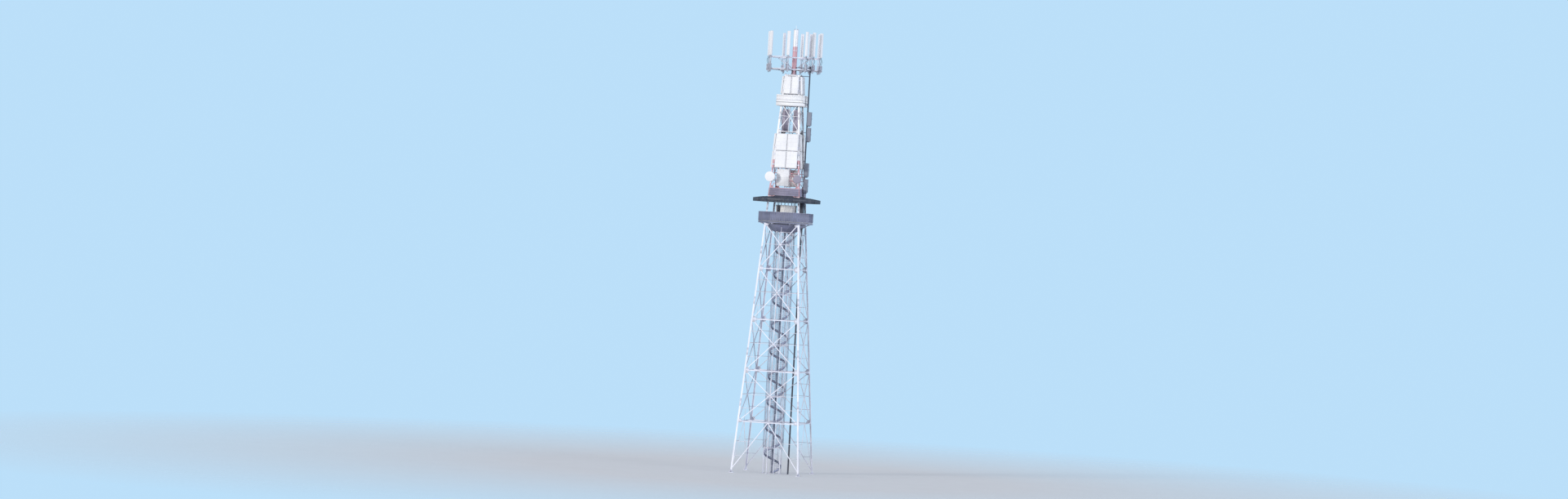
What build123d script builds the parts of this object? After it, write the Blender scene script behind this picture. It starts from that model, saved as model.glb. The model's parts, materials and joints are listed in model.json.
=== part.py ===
from build123d import *
import math
import os

# Observation tower: a square, evenly tapered steel lattice with a spiral stair on its axis, an eight-sided
# deck under a thin sixteen-sided roof, and a lattice mast with dishes and panel antennas above it.
# Model at 1:2 of a tower 60 m tall. Every size is in millimetres of the model. The origin is on the ground,
# at the centre of the stair's newel, +Z is up, and the entrance side faces -Y.

# Tower body
BASE_HALF = 2330.0
HEAD_HALF = 510.0
HEAD_Z = 26660.0
LEG_WIDTH = 110.0
LEG_THICKNESS = 12.0
SEAT_GAP = 0.3

# Feet
BASE_PLATE_SIDE = 270.0
BASE_PLATE_THICKNESS = 25.0
ANCHOR_SPACING = 200.0
ANCHOR_HOLE_RADIUS = 11.0
NEWEL_PLATE_SIDE = 320.0
NEWEL_PLATE_THICKNESS = 20.0
NEWEL_ANCHOR_SPACING = 240.0
POST_PLATE_SIDE = 110.0
POST_PLATE_THICKNESS = 12.0

# Bracing of the tower body, below the deck
LOWER_BAY = 3420.0
LOWER_BAYS = 4
FOOT_BRACE_START_Z = 260.0
BRACE_WIDTH = 50.0
BRACE_DEPTH = 40.0
BRACE_THICKNESS = 6.0
DECK_RING_Z = 16700.0

# Bracing of the mast, above the deck
MAST_BRACE_WIDTH = 38.0
MAST_BRACE_DEPTH = 30.0
MAST_BRACE_THICKNESS = 5.0
ROOF_RING_Z = 18450.0
MAST_FOOT_Z = 19080.0
MAST_BAYS = 4

# Spiral stair
NEWEL_RADIUS = 60.0
NEWEL_WALL = 8.0
NEWEL_TOP_Z = 17480.0
STEP_COUNT = 178
STEPS_PER_TURN = 18
STEPS_PER_FLIGHT = 36
TREAD_RADIUS = 565.0
TREAD_THICKNESS = 18.0
TREAD_NOSING_DEG = 3.0
FIRST_TREAD_DEG = -90.0

# Stair shaft
SHAFT_POST_COUNT = 8
SHAFT_POST_RADIUS = 620.0
SHAFT_POST_SIDE = 40.0
HOOP_THICKNESS = 12.0
HOOP_HEIGHT = 50.0
HOOPS_PER_BAY = 2
TIE_SIDE = 36.0

# Deck
DECK_FLOOR_Z = 16840.0
DECK_FLOOR_THICKNESS = 35.0
DECK_LEG_CLEARANCE = 17.6
DECK_BEAM_WIDTH = 40.0
DECK_EDGE_THICKNESS = 20.0
DECK_SEAM = 2.0
DECK_STRUT_SIDE = 44.0
DECK_STRUT_FOOT_Z = 16150.0
DECK_STRUT_EDGE_DISTANCE = 158.0
SOFFIT_SHEET = 6.0
SOFFIT_FOOT_CLEARANCE = 12.0
SOFFIT_RING_CLEARANCE = 10.0
LANDING_DEG = 50.0
PARAPET_HEIGHT = 632.0
PARAPET_SHEET = 8.0
PARAPET_SHEET_LIFT = 30.0
PARAPET_POST_SIDE = 30.0
PARAPET_POSTS_PER_SIDE = 2
RAIL_WIDTH = 50.0
RAIL_HEIGHT = 25.0
ENCLOSURE_HEIGHT = 1030.0
ENCLOSURE_SHEET = 12.0
ENCLOSURE_LIFT = 30.0
STAIR_DOOR_CORNER = 5

# Roof
ROOF_SIDES = 16
ROOF_OVERHANG = 440.5
ROOF_HATCH_RADIUS = 350.0
ROOF_SLOPE_DEG = 8.5
ROOF_SHEET = 14.0
ROOF_SHEET_LIFT = 1.0
RAFTER_WIDTH = 40.0
RAFTER_DEPTH = 60.0
FASCIA_HEIGHT = 110.0
FASCIA_THICKNESS = 16.0

# Cable ladder on the +X side, which runs from the ground to the crown
CABLE_FACE_CLEARANCE = 7.2
CABLE_LADDER_WIDTH = 300.0
CABLE_LADDER_RAIL = 36.0
CABLE_LADDER_RISE = 620.0
CABLE_RUNG_PITCH = 900.0
CABLE_RUNG_SIDE = 20.0
CABLE_RUN_WIDTH = 200.0
CABLE_RUN_THICKNESS = 24.0
CUTOUT_CLEARANCE = 12.0
JUNCTION_BOX_WIDTH = 320.0
JUNCTION_BOX_DEPTH = 250.0
JUNCTION_BOX_HEIGHT = 900.0
JUNCTION_BOX_EDGE = 20.0
JUNCTION_BOX_HEIGHTS = (18860.0, 19930.0, 22300.0, 23350.0)

# Climbing ladder in the mast
MAST_LADDER_WIDTH = 220.0
MAST_LADDER_STILE = 24.0
MAST_LADDER_Y = 120.0
MAST_LADDER_RUNG_PITCH = 300.0
MAST_LADDER_RUNG = 12.0
STAY_SIDE = 30.0

# Cabinets on a floor inside the mast, on both sides of the climbing ladder
CABINET_LEVEL = 2
CABINET_FLOOR_THICKNESS = 12.0
CABINET_BEARER_Y = 260.0
CABINET_WIDTH = 410.0
CABINET_DEPTH = 300.0
CABINET_HEIGHT = 1440.0
CABINET_GAP = 360.0
CABINET_EDGE = 15.0
LADDER_HATCH_DEPTH = 430.0

# Rest platform round the mast
REST_PLATFORM_WIDTH = 270.0
REST_PLATFORM_THICKNESS = 30.0
REST_ARM_SIDE = 36.0
REST_RAIL_HEIGHT = 480.0
REST_RAIL_SIDE = 22.0
REST_TOE_HEIGHT = 80.0
REST_POSTS_PER_SIDE = 3

# Arrays of broadcast panels on the faces of the mast
ARRAY_RAIL_SIDE = 40.0
ARRAY_PANEL_DEPTH = 110.0
ARRAY_PANEL_CHAMFER = 32.0
ARRAY_PANEL_GAP = 30.0
ARRAY_RAIL_SHARE = 0.2
LOW_ARRAY_BOTTOM_Z = 20430.0
LOW_ARRAY_ROWS = 2
LOW_PANEL_WIDTH = 740.0
LOW_PANEL_HEIGHT = 1130.0
TOP_ARRAY_BOTTOM_Z = 25390.0
TOP_ARRAY_ROWS = 1
TOP_PANEL_WIDTH = 480.0
TOP_PANEL_HEIGHT = 1190.0

# Mast head, pole and crown of panel antennas. Each sector has its heading and the places of its pipes.
PIPE_SIDES = 8
HEAD_PLATE_THICKNESS = 20.0
POLE_RADIUS = 160.0
POLE_WALL = 8.0
POLE_LENGTH = 3020.0
SPIKE_APOTHEM = 12.0
SPIKE_LENGTH = 300.0
CROWN_FIRST_LIFT = 370.0
CROWN_LEVEL_SPACING = 800.0
CROWN_SECTORS = ((-28.0, (-1, 0, 1)), (62.0, (-1, 0, 1)), (152.0, (-1, 1)), (242.0, (-1, 1)))
CROWN_REACH = 1500.0
CROWN_BAR_SIDE = 60.0
CROWN_BOOM_LENGTH = 1700.0
CROWN_PIPE_SPACING = 760.0
CROWN_PIPE_APOTHEM = 28.0
CROWN_PIPE_DROP = 200.0
CROWN_PIPE_LENGTH = 2710.0
PANEL_WIDTH = 230.0
PANEL_DEPTH = 105.0
PANEL_HEIGHT = 1600.0
PANEL_LIFT = 1090.0
RADIO_WIDTH = 200.0
RADIO_DEPTH = 120.0
RADIO_HEIGHT = 440.0
RADIO_LIFT = 90.0
RADIO_EDGE = 14.0

# Obstruction lights on the pole and on the corners of the mast head
LIGHT_SIDES = 8
LIGHT_BASE_APOTHEM = 30.0
LIGHT_BASE_HEIGHT = 18.0
LIGHT_GLOBE_APOTHEM = 24.0
LIGHT_GLOBE_HEIGHT = 52.0
LIGHT_GLOBE_EDGE = 12.0
LIGHT_EDGE_DISTANCE = 60.0

# Microwave dishes on the front legs: leg sign along X, height, radius
DISHES = ((-1, 19820.0, 330.0), (1, 19700.0, 260.0))
DISH_DRUM_DEPTH = 230.0
DISH_BACK_RATIO = 0.35
DISH_HUB_RADIUS = 70.0
DISH_HUB_DEPTH = 90.0
DISH_PIPE_APOTHEM = 28.0
DISH_PIPE_LENGTH = 900.0
DISH_PIPE_STANDOFF = 130.0
DISH_ARM_SIDE = 40.0

# Worked out from the sizes above
BATTER = (BASE_HALF - HEAD_HALF) / HEAD_Z
COS_BATTER = 1.0 / math.hypot(1.0, BATTER)
BATTER_DEG = math.degrees(math.atan(BATTER))
RISER = DECK_FLOOR_Z / STEP_COUNT
STEP_DEG = 360.0 / STEPS_PER_TURN
POST_DEG = 360.0 / SHAFT_POST_COUNT
HOOP_APOTHEM = SHAFT_POST_RADIUS + SHAFT_POST_SIDE / 2
MAST_BAY = (HEAD_Z - MAST_FOOT_Z) / MAST_BAYS
DECK_BEAM_BOTTOM_Z = DECK_RING_Z + BRACE_WIDTH / 2
DECK_BEAM_TOP_Z = DECK_FLOOR_Z - DECK_FLOOR_THICKNESS
ROOF_SLOPE = math.tan(math.radians(ROOF_SLOPE_DEG))
HEAD_TOP_Z = HEAD_Z + HEAD_PLATE_THICKNESS
POLE_TOP_Z = HEAD_TOP_Z + POLE_LENGTH
CABLE_LADDER_TOP_Z = HEAD_TOP_Z + CABLE_LADDER_RISE
CROWN_LEVELS = (HEAD_TOP_Z + CROWN_FIRST_LIFT, HEAD_TOP_Z + CROWN_FIRST_LIFT + CROWN_LEVEL_SPACING)
CROWN_PIPE_BOTTOM_Z = CROWN_LEVELS[0] - CROWN_PIPE_DROP
QUARTERS = {"front": 0, "right": 90, "back": 180, "left": 270}


def half(z):
    """Half the tower's width over the leg corners at height z."""
    return BASE_HALF - BATTER * z


# Sizes that follow the taper of the legs
DECK_APOTHEM = math.sqrt(2) * half(DECK_BEAM_BOTTOM_Z) + DECK_LEG_CLEARANCE + DECK_EDGE_THICKNESS
DECK_STRUT_HEAD_RADIUS = DECK_APOTHEM - DECK_STRUT_EDGE_DISTANCE
ROOF_RADIUS = DECK_APOTHEM / math.cos(math.pi / SHAFT_POST_COUNT) + ROOF_OVERHANG
CABLE_FACE_X = half(ROOF_RING_Z) - LEG_THICKNESS + CABLE_FACE_CLEARANCE
CABLE_LADDER_X = CABLE_FACE_X + CABLE_RUN_THICKNESS + SEAT_GAP + CABLE_RUNG_SIDE / 2


def turned(shape, degrees):
    """The shape turned about the tower's axis."""
    return Rot(0, 0, degrees) * shape


def box(x0, x1, y0, y1, z0, z1):
    """A box between two corners."""
    return Pos((x0 + x1) / 2, (y0 + y1) / 2, (z0 + z1) / 2) * Box(x1 - x0, y1 - y0, z1 - z0)


def prism(points, z0, z1):
    """An upright prism on an outline in plan."""
    return extrude(Pos(0, 0, z0) * make_face(Polyline(*points, close=True)), amount=z1 - z0)


def side_prism(points, width):
    """A prism on an outline of (distance along X, height), centred on Y = 0."""
    outline = Plane.XZ * make_face(Polyline(*points, close=True))
    return extrude(outline, amount=width / 2, both=True)


def polygon_prism(apothem, sides, z0, z1, turn_deg):
    """An upright prism with regular sides, one of them facing the angle turn_deg."""
    outline = RegularPolygon(apothem, sides, major_radius=False, rotation=turn_deg + 180.0 / sides)
    return extrude(Pos(0, 0, z0) * outline, amount=z1 - z0)


def polar(radius, degrees):
    """The point at a radius and an angle in plan."""
    angle = math.radians(degrees)
    return (radius * math.cos(angle), radius * math.sin(angle))


def ring_bar(apothem, thickness, sides, z0, z1):
    """One mitred bar of a regular ring, facing +X."""
    corner = math.tan(math.pi / sides)
    outer = apothem + thickness
    outline = [(apothem, -apothem * corner), (outer, -outer * corner), (outer, outer * corner),
               (apothem, apothem * corner)]
    return prism(outline, z0, z1)


def envelope(inset, z0, z1):
    """The space inside the four faces of the tower, each moved in by inset."""
    side = 2 * (half(z0) - inset)
    return extrude(Pos(0, 0, z0) * Rectangle(side, side), amount=z1 - z0, taper=BATTER_DEG)


def on_face(shape):
    """A shape set on the outside of the front legs: its X across, its Y up the slope, its Z outwards."""
    return Plane(origin=(0, -BASE_HALF, 0), x_dir=(1, 0, 0), z_dir=(0, -1, BATTER)) * shape


def front_edges(shape, axis, along):
    """The edges of the face farthest out on one axis that run along another."""
    return shape.faces().sort_by(axis)[-1].edges().filter_by(along)


def write(name, shapes):
    """Write one node: its solids as one STEP file."""
    solids = [solid for shape in shapes for solid in shape.solids()]
    node = Compound(children=solids) if len(solids) > 1 else solids[0]
    export_step(node, os.path.join("parts", name + ".step"))


# Feet

def base_plate():
    """Foot of the leg at +X +Y, with its four anchor holes."""
    centre = BASE_HALF - LEG_WIDTH / 2
    plate = Pos(centre, centre, BASE_PLATE_THICKNESS / 2) * Box(
        BASE_PLATE_SIDE, BASE_PLATE_SIDE, BASE_PLATE_THICKNESS)
    holes = GridLocations(ANCHOR_SPACING, ANCHOR_SPACING, 2, 2) * Cylinder(
        ANCHOR_HOLE_RADIUS, 2 * BASE_PLATE_THICKNESS)
    return plate - [Pos(centre, centre, 0) * hole for hole in holes]


def newel_plate():
    """Foot of the newel, with its four anchor holes."""
    plate = Pos(0, 0, NEWEL_PLATE_THICKNESS / 2) * Box(
        NEWEL_PLATE_SIDE, NEWEL_PLATE_SIDE, NEWEL_PLATE_THICKNESS)
    holes = GridLocations(NEWEL_ANCHOR_SPACING, NEWEL_ANCHOR_SPACING, 2, 2) * Cylinder(
        ANCHOR_HOLE_RADIUS, 2 * NEWEL_PLATE_THICKNESS)
    return plate - list(holes)


def post_plates():
    """Small square feet of the shaft posts."""
    plate = Pos(SHAFT_POST_RADIUS, 0, POST_PLATE_THICKNESS / 2) * Box(
        POST_PLATE_SIDE, POST_PLATE_SIDE, POST_PLATE_THICKNESS)
    return [turned(plate, POST_DEG * (k + 0.5)) for k in range(SHAFT_POST_COUNT)]


# Legs and bracing

def leg():
    """Angle-section leg at +X +Y, leaning in along both faces."""
    h = half(BASE_PLATE_THICKNESS)
    inner = h - LEG_THICKNESS
    toe = h - LEG_WIDTH
    outline = Polyline((h, h), (toe, h), (toe, inner), (inner, inner), (inner, toe), (h, toe), close=True)
    rise = HEAD_Z - BASE_PLATE_THICKNESS
    lean = Vector(-BATTER, -BATTER, 1)
    return extrude(Pos(0, 0, BASE_PLATE_THICKNESS) * make_face(outline), amount=rise * lean.length,
                   dir=lean.normalized())


def across(start, end):
    """The plane across a bar between two points of a face plane, its Y outwards, and the bar's length."""
    run = Vector(*end) - Vector(*start)
    return Plane(origin=start, x_dir=Vector(-run.Y, run.X, 0), z_dir=run), run.length


def flat_bar(start, end, width, thickness):
    """Flat bar between two points of a face plane, its outer side in the plane."""
    section, length = across(start, end)
    return extrude(section * Pos(0, -thickness / 2) * Rectangle(width, thickness), amount=length)


def angle_bar(start, end, width, depth, thickness):
    """Angle section between two points of a face plane, its flat leg outwards."""
    section, length = across(start, end)
    edge = width / 2
    outline = Polyline((-edge, 0), (edge, 0), (edge, -thickness), (thickness - edge, -thickness),
                       (thickness - edge, -depth), (-edge, -depth), close=True)
    return extrude(section * make_face(outline), amount=length)


def gauge_point(side, z):
    """Where a brace meets the leg on one side, in the plane of a face."""
    return (side * (half(z) - LEG_WIDTH / 2), z / COS_BATTER)


def within_legs(bars, low, high, depth, left=-1, right=1):
    """The bars cut off where the braces of the neighbouring faces begin, and set on the front face."""
    margin = LEG_THICKNESS + depth + SEAT_GAP
    trim = Polyline(*[(side * (half(z) - margin), z / COS_BATTER)
                      for side, z in ((left, low), (right, low), (right, high), (left, high))], close=True)
    face = Plane(origin=(0, LEG_THICKNESS - BASE_HALF, 0), x_dir=(1, 0, 0), z_dir=(0, -1, BATTER))
    return face * (bars & extrude(make_face(trim), amount=2 * depth, both=True))


def lattice(levels, width, depth, thickness):
    """Front face: a horizontal angle at each level and crossed flat diagonals between them, fused."""
    bars = [angle_bar(gauge_point(-1, z), gauge_point(1, z), width, depth, thickness) for z in levels]
    for bottom, top in zip(levels, levels[1:]):
        bars.append(flat_bar(gauge_point(-1, bottom), gauge_point(1, top), width, thickness))
        bars.append(flat_bar(gauge_point(1, bottom), gauge_point(-1, top), width, thickness))
    return within_legs(bars[0].fuse(*bars[1:]), levels[0] - width, levels[-1] + width, depth)


def lower_lattice():
    """Bracing of one face from the first ring to the deck."""
    rings = [LOWER_BAY * (k + 1) for k in range(LOWER_BAYS)] + [DECK_RING_Z]
    return lattice(rings, BRACE_WIDTH, BRACE_DEPTH, BRACE_THICKNESS)


def foot_braces():
    """Inclined braces from the feet to the middle of the first ring, which leave the way in open."""
    top = LOWER_BAY
    seat = LOWER_BAY - BRACE_WIDTH / 2 - SEAT_GAP
    shapes = []
    for side in (-1, 1):
        bar = angle_bar(gauge_point(side, FOOT_BRACE_START_Z), (side * SEAT_GAP / 2, top / COS_BATTER),
                        BRACE_WIDTH, BRACE_DEPTH, BRACE_THICKNESS)
        outer, inner = (side, 0) if side > 0 else (0, side)
        trimmed = within_legs(bar, 0, seat, BRACE_DEPTH, inner, outer)
        shapes += [turned(trimmed, 90 * k) for k in range(4)]
    return shapes


def mast_level(bays):
    """Height of a horizontal that many bays above the foot of the mast."""
    return MAST_FOOT_Z + MAST_BAY * bays


def mast_levels():
    """Heights of the horizontals above the deck."""
    top = HEAD_Z - MAST_BRACE_WIDTH / 2
    return [ROOF_RING_Z] + [mast_level(k) for k in range(MAST_BAYS)] + [top]


def upper_lattice():
    """Bracing of one face from the roof to the mast head."""
    return lattice(mast_levels(), MAST_BRACE_WIDTH, MAST_BRACE_DEPTH, MAST_BRACE_THICKNESS)


def ties():
    """Radial ties from the stair shaft to the faces, at each ring of the tower body."""
    inside = envelope(LEG_THICKNESS + BRACE_THICKNESS / COS_BATTER, 0, DECK_RING_Z)
    bars = []
    for level in range(LOWER_BAYS):
        z = LOWER_BAY * (level + 1)
        bar = box(HOOP_APOTHEM + HOOP_THICKNESS, 2 * BASE_HALF, -TIE_SIDE / 2, TIE_SIDE / 2,
                  z - TIE_SIDE / 2, z + TIE_SIDE / 2)
        bars += [turned(bar, POST_DEG * (k + 0.5)) & inside for k in range(SHAFT_POST_COUNT)]
    return bars


# Spiral stair and its shaft

def newel():
    """Tube that carries the treads."""
    height = NEWEL_TOP_Z - NEWEL_PLATE_THICKNESS
    tube = Cylinder(NEWEL_RADIUS, height) - Cylinder(NEWEL_RADIUS - NEWEL_WALL, height)
    return Pos(0, 0, NEWEL_PLATE_THICKNESS + height / 2) * tube


def tread():
    """Wedge-shaped tread facing +X, its top at the height 0, its inner edge square against the newel."""
    back = STEP_DEG / 2
    nose = -back - TREAD_NOSING_DEG
    spread = math.cos(math.radians((back - nose) / 2))
    inner = (NEWEL_RADIUS + SEAT_GAP) / spread
    reach = TREAD_RADIUS / spread
    return prism([polar(inner, nose), polar(reach, nose), polar(reach, back), polar(inner, back)],
                 -TREAD_THICKNESS, 0)


def flight(number):
    """The treads of one flight, counted from the ground."""
    first = (number - 1) * STEPS_PER_FLIGHT + 1
    last = min(number * STEPS_PER_FLIGHT, STEP_COUNT - 1)
    return [Pos(0, 0, step * RISER) * turned(tread(), FIRST_TREAD_DEG + step * STEP_DEG)
            for step in range(first, last + 1)]


def shaft_posts():
    """Posts round the stair, up to the rafters."""
    side = SHAFT_POST_SIDE / 2
    top = rafter_underside(SHAFT_POST_RADIUS + side)
    post = box(SHAFT_POST_RADIUS - side, SHAFT_POST_RADIUS + side, -side, side, POST_PLATE_THICKNESS, top)
    return [turned(post, POST_DEG * (k + 0.5)) for k in range(SHAFT_POST_COUNT)]


def shaft_hoops():
    """Mitred eight-sided hoops on the outside of the shaft posts."""
    pitch = LOWER_BAY / HOOPS_PER_BAY
    heights = [pitch * (k + 1) for k in range(LOWER_BAYS * HOOPS_PER_BAY)]
    heights.append(DECK_STRUT_FOOT_Z)
    bars = []
    for z in heights:
        bar = ring_bar(HOOP_APOTHEM, HOOP_THICKNESS, SHAFT_POST_COUNT, z - HOOP_HEIGHT / 2, z + HOOP_HEIGHT / 2)
        bars += [turned(bar, POST_DEG * (k + 0.5)) for k in range(SHAFT_POST_COUNT)]
    return bars


# Deck

def deck_beams():
    """Radial beams on the ring of the tower, the trimmer round the stair and the edge beams."""
    trimmer = ring_bar(HOOP_APOTHEM, HOOP_THICKNESS, SHAFT_POST_COUNT, DECK_BEAM_BOTTOM_Z, DECK_BEAM_TOP_Z)
    edge = ring_bar(DECK_APOTHEM - DECK_EDGE_THICKNESS, DECK_EDGE_THICKNESS, SHAFT_POST_COUNT,
                    DECK_BEAM_BOTTOM_Z, DECK_BEAM_TOP_Z)
    inside = polygon_prism(DECK_APOTHEM - DECK_EDGE_THICKNESS, SHAFT_POST_COUNT, DECK_BEAM_BOTTOM_Z,
                           DECK_BEAM_TOP_Z, 0)
    beam = box(HOOP_APOTHEM + HOOP_THICKNESS, 2 * DECK_APOTHEM, -DECK_BEAM_WIDTH / 2, DECK_BEAM_WIDTH / 2,
               DECK_BEAM_BOTTOM_Z, DECK_BEAM_TOP_Z)
    shapes = []
    for k in range(SHAFT_POST_COUNT):
        shapes.append(turned(trimmer, POST_DEG * (k + 0.5)))
        shapes.append(turned(edge, POST_DEG * k))
        shapes.append(turned(beam, POST_DEG * (k + 0.5)) & inside)
    return shapes


def strut_outline():
    """Corners of a strut from the side, from its foot on the stair shaft to its head under a beam."""
    foot = HOOP_APOTHEM + HOOP_THICKNESS
    bottom = DECK_STRUT_FOOT_Z - HOOP_HEIGHT / 2
    rise = DECK_BEAM_BOTTOM_Z - bottom - DECK_STRUT_SIDE
    height = DECK_STRUT_SIDE * math.hypot(1.0, rise / (DECK_STRUT_HEAD_RADIUS - foot))
    return [(foot, bottom), (foot, bottom + height), (DECK_STRUT_HEAD_RADIUS, DECK_BEAM_BOTTOM_Z),
            (DECK_STRUT_HEAD_RADIUS + height, DECK_BEAM_BOTTOM_Z)]


def deck_struts():
    """Inclined struts from the stair shaft to the radial beams."""
    strut = side_prism(strut_outline(), DECK_STRUT_SIDE)
    return [turned(strut, POST_DEG * (k + 0.5)) for k in range(SHAFT_POST_COUNT)]


def deck_soffit():
    """Sheets on the underside of the struts, one between each two, from above the hoop to below the ring."""
    foot, bottom = strut_outline()[0]
    head, top = strut_outline()[-1]
    pitch = (top - bottom) / (head - foot)
    turn = math.radians(POST_DEG / 2)
    seat = bottom - DECK_STRUT_SIDE / 2 * math.tan(turn) * pitch - SEAT_GAP
    near = foot / math.cos(turn) ** 2 + SOFFIT_FOOT_CLEARANCE
    high = DECK_RING_Z - BRACE_WIDTH / 2 - SOFFIT_RING_CLEARANCE
    far = foot + (high - seat) / pitch
    corners = [(*polar(radius, side * POST_DEG / 2), seat + pitch * (radius - foot))
               for radius, side in ((near, -1), (far, -1), (far, 1), (near, 1))]
    sheet = extrude(make_face(Polyline(*corners, close=True)), amount=SOFFIT_SHEET, dir=(0, 0, -1))
    sheets = [turned(sheet, POST_DEG * k) for k in range(SHAFT_POST_COUNT)]
    return [sheets[0] - cable_cutout(bottom, top)] + sheets[1:]


def cable_cutout(z0, z1):
    """Space that the cable ladder needs where it passes the deck and the roof."""
    depth = CABLE_LADDER_RAIL / 2 + CABLE_RUN_THICKNESS + CUTOUT_CLEARANCE
    width = CABLE_LADDER_WIDTH / 2 + CUTOUT_CLEARANCE
    return box(CABLE_LADDER_X - depth, CABLE_LADDER_X + depth, -width, width, z0, z1)


def deck_floor():
    """Eight floor panels with seams over the radial beams, open for the stair, legs and cable ladder."""
    outer = polygon_prism(DECK_APOTHEM, SHAFT_POST_COUNT, DECK_BEAM_TOP_Z, DECK_FLOOR_Z, 0)
    opening = polygon_prism(HOOP_APOTHEM + SEAT_GAP, SHAFT_POST_COUNT, DECK_BEAM_TOP_Z, DECK_FLOOR_Z,
                            POST_DEG / 2)
    low = half(DECK_FLOOR_Z) - LEG_WIDTH - CUTOUT_CLEARANCE
    high = half(DECK_BEAM_TOP_Z) + SEAT_GAP
    leg_hole = box(low, high, low, high, DECK_BEAM_TOP_Z, DECK_FLOOR_Z)
    seam = box(0, 2 * DECK_APOTHEM, -DECK_SEAM / 2, DECK_SEAM / 2, DECK_BEAM_TOP_Z, DECK_FLOOR_Z)
    cuts = [opening, cable_cutout(DECK_BEAM_TOP_Z, DECK_FLOOR_Z)]
    cuts += [turned(leg_hole, 90 * k) for k in range(4)]
    cuts += [turned(seam, POST_DEG * (k + 0.5)) for k in range(SHAFT_POST_COUNT)]
    return outer.cut(*cuts)


def top_landing():
    """Landing at the head of the stair, from the last tread out to the floor."""
    start = FIRST_TREAD_DEG + (STEP_COUNT - 0.5) * STEP_DEG - TREAD_NOSING_DEG
    far = 2 * HOOP_APOTHEM
    low = DECK_FLOOR_Z - TREAD_THICKNESS
    wedge = prism([(0, 0), polar(far, start), polar(far, start + LANDING_DEG)], low, DECK_FLOOR_Z)
    inside = polygon_prism(HOOP_APOTHEM, SHAFT_POST_COUNT, low, DECK_FLOOR_Z, POST_DEG / 2)
    side = SHAFT_POST_SIDE / 2 + SEAT_GAP
    post = box(SHAFT_POST_RADIUS - side, SHAFT_POST_RADIUS + 2 * side, -side, side, low, DECK_FLOOR_Z)
    plate = wedge & inside
    plate = plate - Pos(0, 0, DECK_FLOOR_Z) * Cylinder(NEWEL_RADIUS + SEAT_GAP, 4 * TREAD_THICKNESS)
    return plate.cut(*[turned(post, POST_DEG * (k + 0.5)) for k in range(SHAFT_POST_COUNT)])


def parapet_sheets():
    """Closed parapet round the deck, one sheet a side, mitred at the corners."""
    apothem = DECK_APOTHEM - RAIL_WIDTH / 4
    sheet = ring_bar(apothem, PARAPET_SHEET, SHAFT_POST_COUNT, DECK_FLOOR_Z + PARAPET_SHEET_LIFT,
                     DECK_FLOOR_Z + PARAPET_HEIGHT - RAIL_HEIGHT)
    return [turned(sheet, POST_DEG * k) for k in range(SHAFT_POST_COUNT)]


def parapet_posts():
    """Posts on the floor that carry the sheets and the rail."""
    outer = DECK_APOTHEM - RAIL_WIDTH / 4
    inner = outer - PARAPET_POST_SIDE
    side_length = 2 * DECK_APOTHEM * math.tan(math.pi / SHAFT_POST_COUNT)
    spacing = side_length / PARAPET_POSTS_PER_SIDE
    shapes = []
    for k in range(SHAFT_POST_COUNT):
        for n in range(PARAPET_POSTS_PER_SIDE):
            y = spacing * (n + 0.5) - side_length / 2
            post = box(inner, outer, y - PARAPET_POST_SIDE / 2, y + PARAPET_POST_SIDE / 2, DECK_FLOOR_Z,
                       DECK_FLOOR_Z + PARAPET_HEIGHT - RAIL_HEIGHT)
            shapes.append(turned(post, POST_DEG * k))
    return shapes


def parapet_rail():
    """Flat hand rail on top of the parapet."""
    bar = ring_bar(DECK_APOTHEM - RAIL_WIDTH, RAIL_WIDTH, SHAFT_POST_COUNT,
                   DECK_FLOOR_Z + PARAPET_HEIGHT - RAIL_HEIGHT, DECK_FLOOR_Z + PARAPET_HEIGHT)
    return [turned(bar, POST_DEG * k) for k in range(SHAFT_POST_COUNT)]


def stair_enclosure():
    """Light sheets round the head of the stair, on the shaft posts, open where the landing meets the floor."""
    sheet = ring_bar(HOOP_APOTHEM + SEAT_GAP, ENCLOSURE_SHEET, SHAFT_POST_COUNT,
                     DECK_FLOOR_Z + ENCLOSURE_LIFT, DECK_FLOOR_Z + ENCLOSURE_HEIGHT)
    post_edge = math.degrees(math.atan(SHAFT_POST_SIDE / 2 / SHAFT_POST_RADIUS))
    swing = POST_DEG / 2 - post_edge
    far = 2 * HOOP_APOTHEM
    centre = POST_DEG * STAIR_DOOR_CORNER
    doorway = prism([(0, 0), polar(far, centre - swing), polar(far, centre + swing)], DECK_FLOOR_Z,
                    DECK_FLOOR_Z + 2 * ENCLOSURE_HEIGHT)
    return [turned(sheet, POST_DEG * (k + 0.5)) - doorway for k in range(SHAFT_POST_COUNT)]


# Roof

def rafter_underside(radius):
    """Height of the rafters' underside, which rests on the roof ring of the mast."""
    turn = math.radians(POST_DEG / 2)
    seat = (half(ROOF_RING_Z) - LEG_THICKNESS) / math.cos(turn) + RAFTER_WIDTH / 2 * math.tan(turn)
    return ROOF_RING_Z + MAST_BRACE_WIDTH / 2 + SEAT_GAP - ROOF_SLOPE * (radius - seat)


def sheet_underside(radius):
    """Height of the roof sheets' underside along a rafter."""
    return rafter_underside(radius) + RAFTER_DEPTH + ROOF_SHEET_LIFT


def roof_rafters():
    """Radial rafters from the shaft posts out to the fascia."""
    inner = SHAFT_POST_RADIUS - SHAFT_POST_SIDE / 2
    outer = (ROOF_RADIUS - FASCIA_THICKNESS) * math.cos(math.pi / ROOF_SIDES)
    outline = [(inner, rafter_underside(inner)), (outer, rafter_underside(outer)),
               (outer, rafter_underside(outer) + RAFTER_DEPTH), (inner, rafter_underside(inner) + RAFTER_DEPTH)]
    rafter = side_prism(outline, RAFTER_WIDTH)
    return [turned(rafter, POST_DEG * (k + 0.5)) for k in range(SHAFT_POST_COUNT)]


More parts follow.
